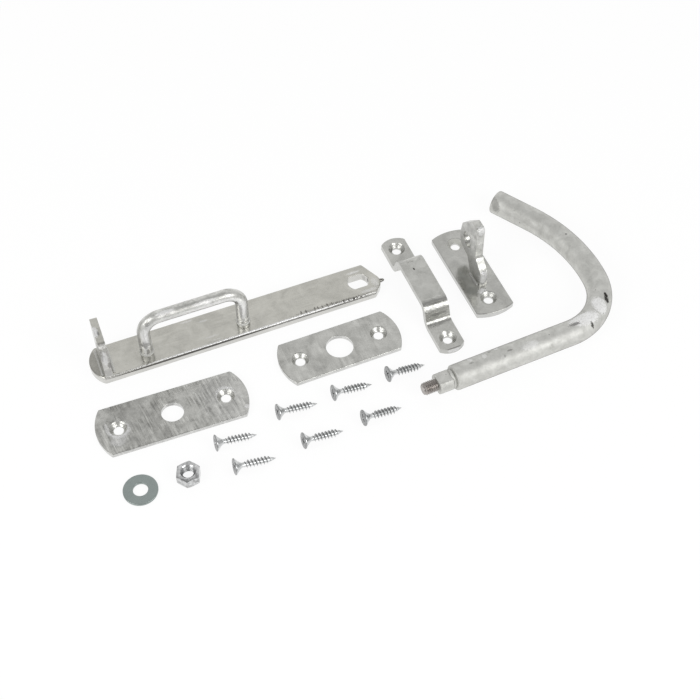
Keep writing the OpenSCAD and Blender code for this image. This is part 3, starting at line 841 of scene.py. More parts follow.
class LATCH_OT_flat_bar(bpy.types.Operator):
    """Make the flat bar with its keyed slot and the drip of zinc at its pointed end"""

    bl_idname = "latch.flat_bar"
    bl_label = "Flat bar"

    drip_length: length("Drip length", "How far the drip stands out from the bar's pointed end", 2.9)
    drip_radius: length("Drip radius", "Radius of the drip of zinc", 1.35)
    drip_place: length("Drip place", "Where the drip is across the bar", 33.9)

    DARK_MARKS = (
        # Burnt spots, ticks and smears along the near edge
        ((4.7, 25.5, 6.0), (0.7, 1.2, 1.0), 0.8),
        ((-0.5, 25.9, 6.0), (0.8, 0.5, 1.0), 0.7),
        ((8.0, 25.0, 6.0), (0.6, 1.1, 1.0), 0.8),
        ((11.4, 25.0, 6.0), (1.0, 0.8, 1.0), 0.9),
        ((13.6, 25.4, 6.0), (0.7, 0.8, 1.0), 0.8),
        ((16.1, 24.8, 6.0), (0.9, 0.6, 1.0), 0.8),
        *(((x, y, 6.0), (0.6, 1.4, 1.0), 0.65, 1.2) for x, y in (
            (-23.5, 26.9), (-20.4, 26.6), (-14.6, 27.0), (-12.4, 26.6), (-9.6, 26.4), (-6.2, 26.6),
            (-3.1, 26.4),
        )),
        ((-12.0, 26.4, 6.0), (15.0, 0.7, 1.0), 0.30, 3.0),
        ((8.0, 25.8, 6.0), (13.0, 0.8, 1.0), 0.50, 3.0),
        # Painted dark reflection in a line low on the near side
        ((-91.0, 24.65, 4.5), (64.0, 3.0, 0.9), 0.92, 0.3),
        ((-10.0, 24.65, 4.5), (46.0, 3.0, 0.6), 0.80, 0.9),
        # Painted shade beyond the lug and on the slot's far wall, and dark spots at the tip and the slot's
        # end
        ((-154.8, 36.5, 6.0), (5.2, 13.0, 1.0), 0.34, 0.2),
        ((19.2, 40.8, 2.8), (9.5, 1.6, 3.0), 0.24, 0.2),
        ((35.2, 33.6, 4.5), (3.2, 3.0, 3.0), 0.6, 0.6),
        ((26.4, 37.3, 4.0), (1.0, 1.4, 2.0), 0.7),
    )
    PALE_MARKS = (
        # Scratches behind and below the pull handle
        ((-92.4, 47.6, 6.0), (4.0, 0.8, 1.0), 0.4),
        ((-82.4, 44.3, 6.0), (3.0, 0.8, 1.0), 0.4),
        ((-81.5, 30.6, 6.0), (4.5, 0.6, 1.0), 0.35, 1.2),
        ((-79.0, 27.2, 6.0), (3.0, 0.5, 1.0), 0.35, 1.2),
        # Rubbed patches round the slot
        ((29.0, 33.0, 6.0), (2.2, 4.0, 1.0), 0.4, 1.4),
        ((23.5, 27.6, 6.0), (6.0, 1.4, 1.0), 0.45, 1.4),
        ((19.2, 45.2, 6.0), (4.5, 0.9, 1.0), 0.6),
        # Painted highlight along the near edge
        ((-55.0, 25.05, 5.8), (90.0, 0.7, 0.6), 1.0),
    )

    def execute(self, context):
        settings = context.scene.latch
        edges, finish = settings.edges, settings.finish
        light, dark = warm_zinc(finish)
        zinc = steel_material(
            "Zinc on the bar", toned(light, 1.03), dark, 0.16, patch=11.0, grain=1.3, contrast=0.45,
            runs=(0.0, 2.0, 30.0, 0.2), specks=(7.0, 0.07, 0.25, 0.4), spots=self.DARK_MARKS,
            blooms=self.PALE_MARKS, bare=finish.zinc_bare_and_shade, sides=0.35,
        )
        bar = softened_copy("latch_bar", edges.bar, edges.slot_share)
        mesh = joined("bar", [(bar, STAY, None), (self.drip(zinc), STAY, 0)])
        piece("flat_bar", mesh, [zinc], BAR, GALVANISED, "latch_bar")
        return {"FINISHED"}

    def drip(self, zinc):
        """The drip of zinc that hung from the bar's pointed end as it cooled."""
        sunk, middle = 1.2 * MM, 4.2 * MM
        root = Vector((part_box("latch_bar")[1].x - sunk, self.drip_place, middle))
        line = steps_along(root, root + Vector((self.drip_length + sunk, -0.4 * MM, 0.2 * MM)), 0.25 * MM)
        last = len(line) - 1
        sizes = [
            self.drip_radius * (1.25 - 0.6 * i / last) * min(1.0, 0.35 + 0.3 * (last - i))
            for i in range(len(line))
        ]
        return rods([(line, sizes, False)], zinc, 20, 0.2 * MM, 1.5 * MM)


class LATCH_OT_padlock_lug(bpy.types.Operator):
    """Make the padlock lug that stands across the bar's free end"""

    bl_idname = "latch.padlock_lug"
    bl_label = "Padlock lug"

    DARK_MARKS = (
        ((-147.6, 36.0, 34.5), (0.7, 1.8, 3.0), 0.5),
        ((-146.4, 24.8, 16.5), (1.4, 1.2, 2.8), 0.45, 1.2),
        ((-147.4, 24.8, 10.0), (3.4, 1.4, 4.5), 0.22, 0.9),
        # Painted shade along the left of the near face
        ((-149.6, 24.8, 27.0), (0.8, 1.4, 6.0), 0.30, 0.9),
    )
    PALE_MARKS = (
        ((-149.2, 37.8, 34.5), (2.0, 4.5, 3.0), 1.0),
        # Painted highlight on the near face
        ((-148.4, 24.9, 23.5), (1.7, 3.0, 7.5), 1.0, 0.9),
        # Painted highlight over the near top corner
        ((-147.8, 25.6, 33.8), (4.0, 2.6, 2.0), 0.5),
    )

    def execute(self, context):
        settings = context.scene.latch
        edges, finish = settings.edges, settings.finish
        zinc = steel_material(
            "Zinc on the lug", *warm_zinc(finish), 0.34, grain=1.0, contrast=0.7,
            specks=(6.0, 0.07, 0.25, 0.4), spots=self.DARK_MARKS, blooms=self.PALE_MARKS,
            bare=finish.zinc_bare_and_shade, relief=0.12, sides=0.4,
        )
        mesh = softened_copy("padlock_lug", edges.lug, edges.hole_share)
        piece("padlock_lug_plate", mesh, [zinc], BAR, GALVANISED, "padlock_lug")
        return {"FINISHED"}


class LATCH_OT_bearing_plates(bpy.types.Operator):
    """Make the outer and the inner bearing plate"""

    bl_idname = "latch.bearing_plates"
    bl_label = "Bearing plates"

    OUTER_DARK_MARKS = (
        ((-119.0, -4.8, 1.5), (6.2, 1.6, 1.8), 0.35, 0.3),
        ((-140.0, -12.0, 3.0), (18.0, 26.0, 2.0), 0.13, 0.9),
    )
    OUTER_PALE_MARKS = (
        ((-160.2, -9.9, 3.0), (1.2, 5.0, 2.0), 0.6),
        ((-86.0, -10.0, 3.0), (18.0, 26.0, 2.0), 0.16, 0.9),
        # Rims of the two screw holes
        ((-153.7, -12.6, 3.0), (6.7, 6.7, 2.0), 1.0, 0.4),
        ((-87.9, -11.9, 3.0), (6.2, 6.2, 2.0), 0.9, 0.6),
        ((-156.0, -20.0, 3.0), (5.0, 4.0, 2.0), 0.45),
        ((-78.7, -25.3, 3.0), (1.6, 1.6, 2.0), 0.8),
    )
    # Painted shade on the far wall of the plate's hole
    INNER_HOLE_WALL_SHADE = ((-8.5, 3.7, 1.4), (7.0, 1.8, 1.6), 0.2, 0.3)

    def execute(self, context):
        settings = context.scene.latch
        edges, finish = settings.edges, settings.finish
        light, dark = finish.zinc_light, finish.zinc_dark
        outer = steel_material(
            "Zinc on the outer plate", light, toned(dark, 0.76), 0.26, grain=0.9, contrast=0.65,
            runs=(radians(84.0), 1.5, 20.0, 1.0), specks=(5.0, 0.08, 0.3, 0.35),
            spots=self.OUTER_DARK_MARKS, blooms=self.OUTER_PALE_MARKS, bare=finish.zinc_bare_and_shade, relief=0.07,
            sides=0.4,
        )
        inner = steel_material(
            "Zinc on the inner plate", light, toned(dark, 0.86), 0.24, patch=9.0, grain=1.0, contrast=0.6,
            runs=(radians(90.0), 3.5, 30.0, 0.5), specks=(6.0, 0.07, 0.25, 0.35),
            spots=[self.INNER_HOLE_WALL_SHADE], bare=finish.zinc_bare_and_shade, sides=0.4,
        )
        for side, zinc in (("outer", outer), ("inner", inner)):
            mesh = softened_copy(side + "_plate", edges.plate, edges.hole_share)
            piece(side + "_bearing_plate", mesh, [zinc, hole_zinc(finish)], DOOR, GALVANISED, side + "_plate")
        return {"FINISHED"}


class LATCH_OT_bar_keeper(bpy.types.Operator):
    """Make the bridge that keeps the bar on the door"""

    bl_idname = "latch.bar_keeper"
    bl_label = "Bar keeper"

    DARK_MARKS = (
        ((52.5, 25.0, 16.0), (0.6, 1.1, 1.0), 0.9),
        ((54.0, -1.7, 16.0), (0.5, 0.7, 1.0), 0.8),
        # Painted dark reflection along the top edge of the near end
        ((53.8, -33.7, 4.0), (10.0, 0.5, 0.6), 0.45, 0.8),
    )
    # Painted reflection of the floor on the near end
    PALE_END_REFLECTION = ((53.8, -34.5, 2.2), (10.0, 1.0, 1.8), 0.8)
    BEND_DARK_MARKS = (
        ((53.8, -5.0, 15.3), (8.5, 0.7, 1.0), 0.55),
        ((54.0, -9.0, 9.0), (6.0, 1.0, 1.0), 0.45),
    )

    def execute(self, context):
        settings = context.scene.latch
        edges, finish = settings.edges, settings.finish
        light, dark = finish.zinc_light, finish.zinc_dark
        strap = steel_material(
            "Zinc on the keeper", toned(light, 0.94), dark, 0.22, patch=8.0, grain=0.9, contrast=0.6,
            specks=(5.0, 0.07, 0.3, 0.4), spots=self.DARK_MARKS, blooms=[self.PALE_END_REFLECTION],
            bare=finish.zinc_bare_and_shade, sides=0.1,
        )
        bend = steel_material(
            "Zinc on the keeper's bends", light, dark, 0.32, patch=4.0, grain=1.2, contrast=0.9,
            specks=(3.0, 0.12, 0.35, 0.5), spots=self.BEND_DARK_MARKS, bare=finish.zinc_bare_and_shade, relief=0.3,
        )
        mesh = softened_copy("bar_keeper", edges.keeper, edges.hole_share)
        piece("keeper_strap", mesh, [strap, hole_zinc(finish), bend], DOOR, GALVANISED, "bar_keeper")
        return {"FINISHED"}


class LATCH_OT_catch(bpy.types.Operator):
    """Make the catch plate and the hook that stands on it"""

    bl_idname = "latch.catch"
    bl_label = "Catch and hook"

    shade_tint: colour("Hook's shade", "Green shade of the hook's reflection", (0.04, 0.07, 0.062))

    # Painted reflection of the hook in the plate, in the hook's shade colour
    PLATE_HOOK_REFLECTION = (
        ((83.8, 3.2, 4.0), (3.6, 3.6, 1.0), 0.2),
        ((84.2, 18.0, 4.0), (2.6, 6.0, 1.0), 0.12),
    )
    WELD_SPATTER = ((89.6, 0.8, 4.0), (3.0, 2.2, 1.0), 0.7)
    HOOK_PALE_MARKS = (
        # Painted highlight on the hook's lower slope
        ((92.2, 5.2, 11.0), (2.6, 4.0, 6.0), 1.0),
        ((92.5, 15.2, 44.0), (2.4, 3.0, 4.0), 0.7),
    )

    def execute(self, context):
        settings = context.scene.latch
        edges, finish = settings.edges, settings.finish
        light, dark = finish.zinc_light, finish.zinc_dark
        plate = steel_material(
            "Zinc on the catch", toned(light, 0.92), toned(dark, 0.8), 0.17, patch=10.0, grain=1.0,
            specks=(6.0, 0.07, 0.25, 0.3), spots=self.PLATE_HOOK_REFLECTION, blooms=[self.WELD_SPATTER],
            bare=self.shade_tint, sides=0.4,
        )
        dull = steel_material("Zinc in the catch's far hole", light, light, 0.8, patch=4.0, grain=1.0)
        mesh = softened_copy("catch_plate", edges.plate, edges.hole_share)
        self.dull_far_hole(mesh)
        piece("catch_base", mesh, [plate, hole_zinc(finish), dull], DOOR, GALVANISED, "catch_plate")
        hook = steel_material(
            "Zinc on the hook", toned(light, 1.1), dark, 0.34, patch=4.0, grain=1.0, contrast=0.9,
            specks=(5.0, 0.07, 0.25, 0.4), blooms=self.HOOK_PALE_MARKS, bare=finish.zinc_bare_and_shade, relief=0.22,
            sides=0.12,
        )
        mesh = softened_copy("catch_hook", edges.hook, edges.hole_share)
        piece("catch_hook_plate", mesh, [hook], DOOR, GALVANISED, "catch_hook")
        return {"FINISHED"}

    def dull_far_hole(self, mesh):
        """Gives the cone of the far hole, which the zinc has filled, the third material."""
        low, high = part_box("catch_plate")
        for face in mesh.polygons:
            if face.material_index == 1 and face.center.y > (low.y + high.y) / 2:
                face.material_index = 2


class LATCH_OT_pull_handle(bpy.types.Operator):
    """Bend the small round pull handle, with a ring of zinc on each leg"""

    bl_idname = "latch.pull_handle"
    bl_label = "Pull handle"

    bend_radius: length("Bend radius", "Centre line radius of the handle's bends", 11.0)
    left_ring: length("Left ring height", "Height of the zinc ring on the left leg above the bar", 6.8)
    right_ring: length("Right ring height", "Height of the zinc ring on the right leg above the bar", 3.4)
    ring_bead: length("Ring bead", "Radius of the zinc ring on each leg", 0.4)

    BEND_STEPS = 14
    RING_LEAN = 0.18  # rise of a ring's high side, as a share of its radius
    RING_TURN = 0.6   # angle from +X to the high side, clockwise, in radians
    DARK_MARKS = (
        ((-119.1, 32.3, 33.6), (1.6, 1.8, 1.6), 0.4, 2.0),
        ((-122.6, 31.6, 16.2), (2.6, 2.0, 2.6), 0.45, 1.4),
        ((-121.2, 31.3, 9.2), (1.0, 1.4, 2.6), 0.45, 1.2),
        ((-63.3, 32.3, 27.8), (1.2, 1.6, 3.0), 0.5, 1.4),
        ((-61.0, 31.7, 19.0), (0.9, 1.6, 7.0), 0.4, 1.2),
    )
    PALE_MARKS = (
        ((-106.7, 33.8, 37.7), (6.0, 1.4, 2.0), 0.7),
        ((-121.1, 31.4, 23.5), (1.0, 1.4, 7.5), 0.8),
        ((-123.2, 31.8, 9.0), (0.8, 1.4, 3.0), 0.8),
        ((-82.2, 32.6, 37.0), (8.0, 1.4, 2.0), 0.5),
    )

    def execute(self, context):
        finish = context.scene.latch.finish
        low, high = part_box("pull_handle")
        radius, y = (high.y - low.y) / 2, (high.y + low.y) / 2
        left, right = low.x + radius, high.x - radius
        path = self.rod_path(left, right, y, low.z, high.z - radius)
        zinc = steel_material(
            "Zinc on the pull handle", finish.frost_light, finish.frost_dark, 0.42, patch=4.0, grain=0.9,
            contrast=1.2, specks=(4.0, 0.09, 0.3, 0.45), spots=self.DARK_MARKS, blooms=self.PALE_MARKS,
            bare=finish.zinc_bare_and_shade, relief=0.16, sides=0.6, rim=0.45,
        )
        rod_mesh = rods([(path, [radius] * len(path), False)], zinc, 40, 0.18 * MM, 4.0 * MM)
        rings, sunk = [], 0.1 * MM
        for x, height in ((left, self.left_ring), (right, self.right_ring)):
            middle = Vector((x, y, low.z + height))
            ring = [
                middle + Vector((cos(a), sin(a), self.RING_LEAN * cos(a + self.RING_TURN))) * (radius - sunk)
                for a in steps_round(40)
            ]
            rings.append((ring, [self.ring_bead] * len(ring), True))
        ring_mesh = rods(rings, zinc, 12, 0.1 * MM, 2.0 * MM)
        mesh = joined("pull_handle", [(rod_mesh, STAY, 0), (ring_mesh, STAY, 0)])
        shade(mesh, 60.0)
        piece("pull_handle_rod", mesh, [zinc], BAR, GALVANISED, "pull_handle")
        return {"FINISHED"}

    def rod_path(self, left, right, y, foot, top):
        """The centre line, up the left leg, over both bends and down the right leg."""
        bend = self.bend_radius
        path = steps_along(Vector((left, y, foot)), Vector((left, y, top - bend)), MM)
        for side, centre, beyond in (
            (pi, left + bend, Vector((right - bend, y, top))),
            (pi / 2, right - bend, Vector((right, y, foot))),
        ):
            turns = [side - pi / 2 * i / self.BEND_STEPS for i in range(1, self.BEND_STEPS + 1)]
            path += [Vector((centre + bend * cos(a), y, top - bend + bend * sin(a))) for a in turns]
            path += steps_along(path[-1], beyond, MM)[1:]
        return path


class LATCH_OT_bow_handle(bpy.types.Operator):
    """Bend the bow handle and turn its keyed and threaded spindle end"""

    bl_idname = "latch.bow_handle"
    bl_label = "Bow handle"

    DARK_MARKS = (
        # The two flaked spots on the bend
        ((154.1, -40.4, 15.0), (1.3, 2.3, 4.0), 0.95, 0.9),
        ((153.1, -43.2, 15.0), (1.6, 2.4, 4.0), 0.90, 0.9),
        # Smaller ones along the shank and the bow
        ((124.7, -53.8, 16.0), (3.6, 1.2, 2.0), 0.6, 1.8),
        ((135.4, -57.1, 13.7), (0.9, 2.2, 3.0), 0.8, 1.2),
        ((78.8, -56.5, 16.0), (1.6, 0.6, 2.0), 0.4, 1.2),
        ((74.3, -59.0, 15.4), (0.8, 0.8, 2.0), 0.25),
        ((66.9, -52.4, 15.1), (1.2, 0.7, 2.0), 0.3, 1.2),
        ((52.9, -56.3, 16.0), (1.4, 0.7, 2.0), 0.3, 1.2),
        ((155.8, 14.6, 16.0), (0.8, 0.8, 2.0), 0.5),
        ((127.5, 59.7, 12.0), (2.0, 6.0, 6.0), 0.3),
    )
    PALE_MARKS = (
        ((132.6, -52.0, 16.0), (11.0, 5.0, 6.0), 0.8),
        ((146.4, -46.3, 15.9), (5.0, 7.0, 6.0), 0.8),
        ((62.5, -54.4, 15.8), (1.6, 2.0, 3.0), 0.5, 1.4),
        ((53.5, -53.6, 15.4), (1.4, 1.8, 3.0), 0.5, 1.4),
        ((71.9, -51.8, 14.9), (1.6, 1.0, 3.0), 0.6, 1.2),
        ((91.9, -57.5, 15.7), (6.0, 2.5, 3.0), 0.4, 1.2),
    )

    def execute(self, context):
        settings = context.scene.latch
        bow, spindle, finish = settings.bow, settings.spindle, settings.finish
        joint = next(j for j in frame["joints"] if j["name"] == "bow_handle_turn")
        shoulder, axis = Vector(joint["pos_m"]), Vector(joint["axis"]).normalized()
        path, radii = self.rod_path(bow, spindle, shoulder, axis, bow.rod_diameter / 2)
        zinc = steel_material(
            "Zinc on the bow", finish.frost_light, finish.frost_dark, 0.62, contrast=0.55,
            specks=(5.0, 0.11, 0.4, 0.5), spots=self.DARK_MARKS, blooms=self.PALE_MARKS,
            bare=finish.zinc_bare_and_shade, relief=0.08, rim=0.55,
        )
        bare_steel = steel_material(
            "Bare thread", finish.thread_light, finish.thread_dark, 0.30, patch=3.0, grain=0.6,
            contrast=0.45, bare=finish.zinc_bare_and_shade, relief=0.02, rim=0.7,
        )
        rod_mesh = rods([(path, radii, False)], zinc, 64, bow.lump_height, 7.0 * MM)
        # Parts made round Z are laid so that their +Z runs up the shank from the shoulder
        along = Matrix((
            (axis.x, -axis.y, 0.0, 0.0), (axis.y, axis.x, 0.0, 0.0),
            (0.0, 0.0, 1.0, 0.0), (0.0, 0.0, 0.0, 1.0),
        ))
        place = Matrix.Translation(shoulder) @ along @ Matrix.Rotation(pi / 2, 4, "Y")
        shaft, ridge, flip = self.threaded_end(spindle, bare_steel)
        mesh = joined("bow", [
            (rod_mesh, STAY, 0), (self.neck(spindle), place, 0), (shaft, place, 1), (ridge, place @ flip, 1),
        ])
        piece("bow_handle_rod", mesh, [zinc, bare_steel], BOW, GALVANISED, "bow_handle")
        return {"FINISHED"}

    def threaded_end(self, spindle, material):
        """The thread's core, along -Z from the neck, its ridge, and the turn that lays the ridge on it."""
        core, crest, pitch = spindle.core_diameter / 2, spindle.thread_diameter / 2, spindle.thread_pitch
        base = -spindle.collar_length - spindle.flats_length
        tip, sunk = base - spindle.thread_length, base + 0.5 * MM
        cone = crest - core  # the tip's slope, as deep as the thread
        shaft = lathe([(0.0, tip), (core - cone * 0.6, tip), (core, tip + cone), (core, sunk), (0.0, sunk)])
        run = spindle.thread_length - cone * 0.5
        ridge = thread_ridge(
            core - 0.04 * MM, crest, pitch, run, pitch * 0.9, pitch * 0.88, material, steps=36, pointed=0.0
        )
        return shaft, ridge, Matrix.Translation((0.0, 0.0, base)) @ Matrix.Rotation(pi, 4, "X")

    def rod_path(self, bow, spindle, shoulder, axis, rod):
        """Centre line points and radii, from the collar round both bends to the free end."""
        spacing = 0.9 * MM
        heading = atan2(axis.y, axis.x)
        collar, chamfer, back = spindle.neck_diameter / 2, bow.end_chamfer, -spindle.collar_length
        quarter = [pi / 2 * i / 6 for i in range(1, 7)]
        deep, shallow = collar - 0.8 * MM, collar - 0.6 * MM
        points, radii = [], []

        def mark(place, radius):
            points.append(place)
            radii.append(radius)

        # The collar, with a groove on each side of it
        for at, radius in (
            (back, collar * 0.35), (back + 0.05 * MM, shallow), (back + 0.35 * MM, shallow),
            (back + 0.55 * MM, collar), (-0.65 * MM, collar), (-0.5 * MM, deep), (-0.05 * MM, deep),
            (0.0, collar + 0.1 * MM), (0.05 * MM, rod - chamfer),
        ):
            mark(shoulder + axis * at, radius)
        # The rounded shoulder and the shank
        for a in quarter:
            mark(shoulder + axis * (0.05 * MM + chamfer * (1 - cos(a))), rod - chamfer * (1 - sin(a)))
        end = shoulder + axis * bow.shank_length
        for p in steps_along(points[-1], end, spacing)[1:]:
            mark(p, rod)
        # The two bends
        centre = end + Vector((-axis.y, axis.x, 0.0)) * bow.bend_radius
        for reach, turn in ((bow.bend_radius, bow.bend_angle), (bow.bow_radius, bow.bow_angle)):
            count = ceil(reach * turn / spacing)
            for i in range(1, count + 1):
                a = heading + turn * i / count
                mark(centre + Vector((sin(a), -cos(a), 0.0)) * reach, rod)
            heading += turn
            centre = points[-1] + Vector((-sin(heading), cos(heading), 0.0)) * bow.bow_radius
        # The free end, which is rounded over
        ahead = Vector((cos(heading), sin(heading), 0.0))
        straight = bow.free_length - chamfer - 0.08 * MM
        for p in steps_along(points[-1], points[-1] + ahead * straight, spacing)[1:]:
            mark(p, rod)
        start = points[-1]
        for a in quarter:
            mark(start + ahead * chamfer * sin(a) * 0.98, rod - chamfer * (1 - cos(a)))
        for part in (0.9, 0.7, 0.45, 0.2, 0.05):
            mark(points[-1] + ahead * chamfer * 0.004, (rod - chamfer) * part)
        return points, radii

    def neck(self, spindle):
        """The keyed neck: a round bar with two flats, along -Z from the collar."""
        radius, half = spindle.neck_diameter / 2, spindle.neck_flats / 2
        outline = [(max(-half, min(half, radius * cos(a))), radius * sin(a)) for a in steps_round(96)]
        top = -spindle.collar_length
        return bevelled(prism(outline, top - spindle.flats_length, top + 0.2 * MM), 0.7 * MM, 3, 20.0)


class LATCH_OT_welds(bpy.types.Operator):
    """Lay the weld beads at the handle's feet, the lug and the hook"""

    bl_idname = "latch.welds"
    bl_label = "Weld beads"

    foot_bead: length("Foot bead", "Radius of the weld bead round each foot of the handle", 0.8)
    plate_bead: length("Plate bead", "Radius of the weld beads beside the lug and the hook", 1.15)
    lug_yaw: angle("Lug turn", "Turn of the lug on the bar", -2.0)
    hook_yaw: angle("Hook turn", "Turn of the catch as it lies", -0.4)

    DARK_MARKS = (
        ((88.0, 12.0, 4.6), (1.4, 7.5, 2.2), 0.45, 0.3),
        ((-152.0, 37.5, 6.8), (1.6, 13.0, 2.2), 0.25, 0.3),
    )

    def execute(self, context):
        finish = context.scene.latch.finish
        zinc = steel_material(
            "Zinc on the welds", finish.frost_light, finish.frost_dark, 0.6, patch=3.0, grain=0.8,
            contrast=0.4, spots=self.DARK_MARKS, bare=finish.zinc_bare_and_shade, relief=0.04, sides=0.5, metal=0.55,
        )
        bead = self.foot_bead
        low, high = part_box("pull_handle")
        rod = (high.y - low.y) / 2
        for number, x in (("1", low.x + rod), ("2", high.x - rod)):
            foot = Vector((x, (low.y + high.y) / 2, low.z + 0.2 * bead))
            ring = [foot + Vector((cos(a), sin(a), 0.0)) * (rod + 0.15 * bead) for a in steps_round(40)]
            mesh = self.beads([(ring, [bead] * len(ring), True)], zinc, low.z)
            piece("handle_foot_weld_" + number, mesh, [zinc], BAR, GALVANISED, "handle_weld_" + number)
        for node, name, body, yaw in (
            ("lug_weld", "lug_foot_weld", BAR, self.lug_yaw),
            ("hook_weld", "hook_root_weld", DOOR, self.hook_yaw),
        ):
            mesh = self.beads(self.runs(node, yaw), zinc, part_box(node)[0].z)
            piece(name, mesh, [zinc], body, GALVANISED, node)
        return {"FINISHED"}

    def beads(self, lines, zinc, floor):
        """Rippled beads along the lines, cut off flat just below the surface that they lie on."""
        mesh = rods(lines, zinc, 20, 0.6 * MM, 3.0 * MM, ripple=0.05, ripple_pitch=1.6 * MM)
        bm = bmesh.new()
        bm.from_mesh(mesh)
        parted = bmesh.ops.bisect_plane(
            bm, geom=bm.verts[:] + bm.edges[:] + bm.faces[:], plane_co=(0.0, 0.0, floor - 0.3 * MM),
            plane_no=(0.0, 0.0, -1.0), clear_outer=True,
        )
        edges = [e for e in parted["geom_cut"] if isinstance(e, bmesh.types.BMEdge)]
        bmesh.ops.holes_fill(bm, edges=edges)
        bmesh.ops.recalc_face_normals(bm, faces=bm.faces)
        bm.to_mesh(mesh)
        bm.free()
        return mesh

    def runs(self, node, yaw):
        """The two straight runs beside an upright plate that stands along Y, turned by its yaw."""
        bead = self.plate_bead
        low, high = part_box(node)
        middle, size = (low + high) / 2, high - low
        middle.z = low.z + 0.25 * bead
        turn = Matrix.Rotation(yaw, 3, "Z")
        reach = size.y / 2 - bead * 0.6
        apart = (size.x - size.y * abs(sin(yaw))) / 2 - bead * 1.05
        lines = []
        for sign in (-1, 1):
            start, end = (middle + turn @ Vector((sign * apart, far * reach, 0.0)) for far in (-1, 1))
            line = steps_along(start, end, 0.35 * MM)
            sizes = [bead * min(1.0, 0.3 + 0.5 * min(i, len(line) - 1 - i)) for i in range(len(line))]
            lines.append((line, sizes, False))
        return lines


class LATCH_OT_washer(bpy.types.Operator):
    """Punch the blue plated washer"""

    bl_idname = "latch.washer"
    bl_label = "Washer"

    def execute(self, context):
        settings = context.scene.latch
        finish = settings.finish
        plating = steel_material(
            "Blue zinc plating", finish.washer_light, finish.washer_dark, 0.26, patch=5.0, grain=0.7,
            contrast=0.35, relief=0.01,
        )
        mesh = softened_copy("spindle_washer", settings.edges.washer, 1.0)
        piece("blue_washer", mesh, [plating], DOOR, PLATED, "spindle_washer")
        return {"FINISHED"}


class LATCH_OT_nut(bpy.types.Operator):
    """Make the hexagon nut with its tapped bore"""

    bl_idname = "latch.nut"
    bl_label = "Nut"

    yaw: angle("Turn", "Turn of the nut as it lies", 7.3)
    across: length("Across flats", "Distance across the nut's flats", 13.0)
    corner_slope: length("Corner slope", "Height of the slope on the nut's corners", 0.75)
    mouth: length("Bore mouth", "Depth of the slope at each mouth of the bore", 0.5)

    def execute(self, context):
        settings = context.scene.latch
        finish, spindle = settings.finish, settings.spindle
        low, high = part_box("spindle_nut")
        height, pitch = high.z - low.z, spindle.thread_pitch
        plating = steel_material(
            "Bright plating on the nut", finish.plating_light, finish.crest_dark, 0.12, patch=2.2, grain=0.6,
            contrast=0.9, relief=0.1, polish=0.05,
        )
        tapped = steel_material(
            "Plating in the nut's thread", finish.plating_dark, finish.crest_dark, 0.42, patch=2.0, grain=0.6,
            contrast=0.6, relief=0.02,
        )
        ridge = thread_ridge(
            spindle.thread_diameter / 2 + 0.03 * MM, spindle.core_diameter / 2, pitch, height - 0.9 * MM,
            pitch * 0.5, pitch * 0.86, tapped, steps=36, pointed=0.0,
        )
        middle = ((low.x + high.x) / 2, (low.y + high.y) / 2, low.z)
        place = Matrix.Translation(middle) @ Matrix.Rotation(self.yaw, 4, "Z")
        mesh = joined("nut", [
            (self.blank(height, spindle.thread_diameter / 2), place, 0),
            (ridge, place @ Matrix.Translation((0.0, 0.0, 0.45 * MM)), 1),
        ])
        shade(mesh, 25.0)
        piece("hexagon_nut", mesh, [plating, tapped], DOOR, PLATED, "spindle_nut")
        return {"FINISHED"}

    def blank(self, height, bore_radius):
        """The hexagon with its sloped corners and its bore, from z = 0 upwards."""
        corner = self.across / sqrt(3)
        hexagon = [(corner * cos(pi / 3 * i), corner * sin(pi / 3 * i)) for i in range(6)]
        face, waist, slope = self.across / 2 - 0.05 * MM, corner + 0.7 * MM, self.corner_slope
        envelope = lathe([
            (0.0, 0.0), (face, 0.0), (waist, slope), (waist, height - slope), (face, height), (0.0, height),
        ], 96)
        past, wide, mouth = MM, bore_radius + MM + self.mouth, self.mouth
        bore = lathe([
            (0.0, -past), (wide, -past), (bore_radius, mouth), (bore_radius, height - mouth),
            (wide, height + past), (0.0, height + past),
        ])
        solid = cut(cut(prism(hexagon, 0.0, height), envelope, "INTERSECT"), bore, "DIFFERENCE")
        shade(solid, 25.0)
        return solid


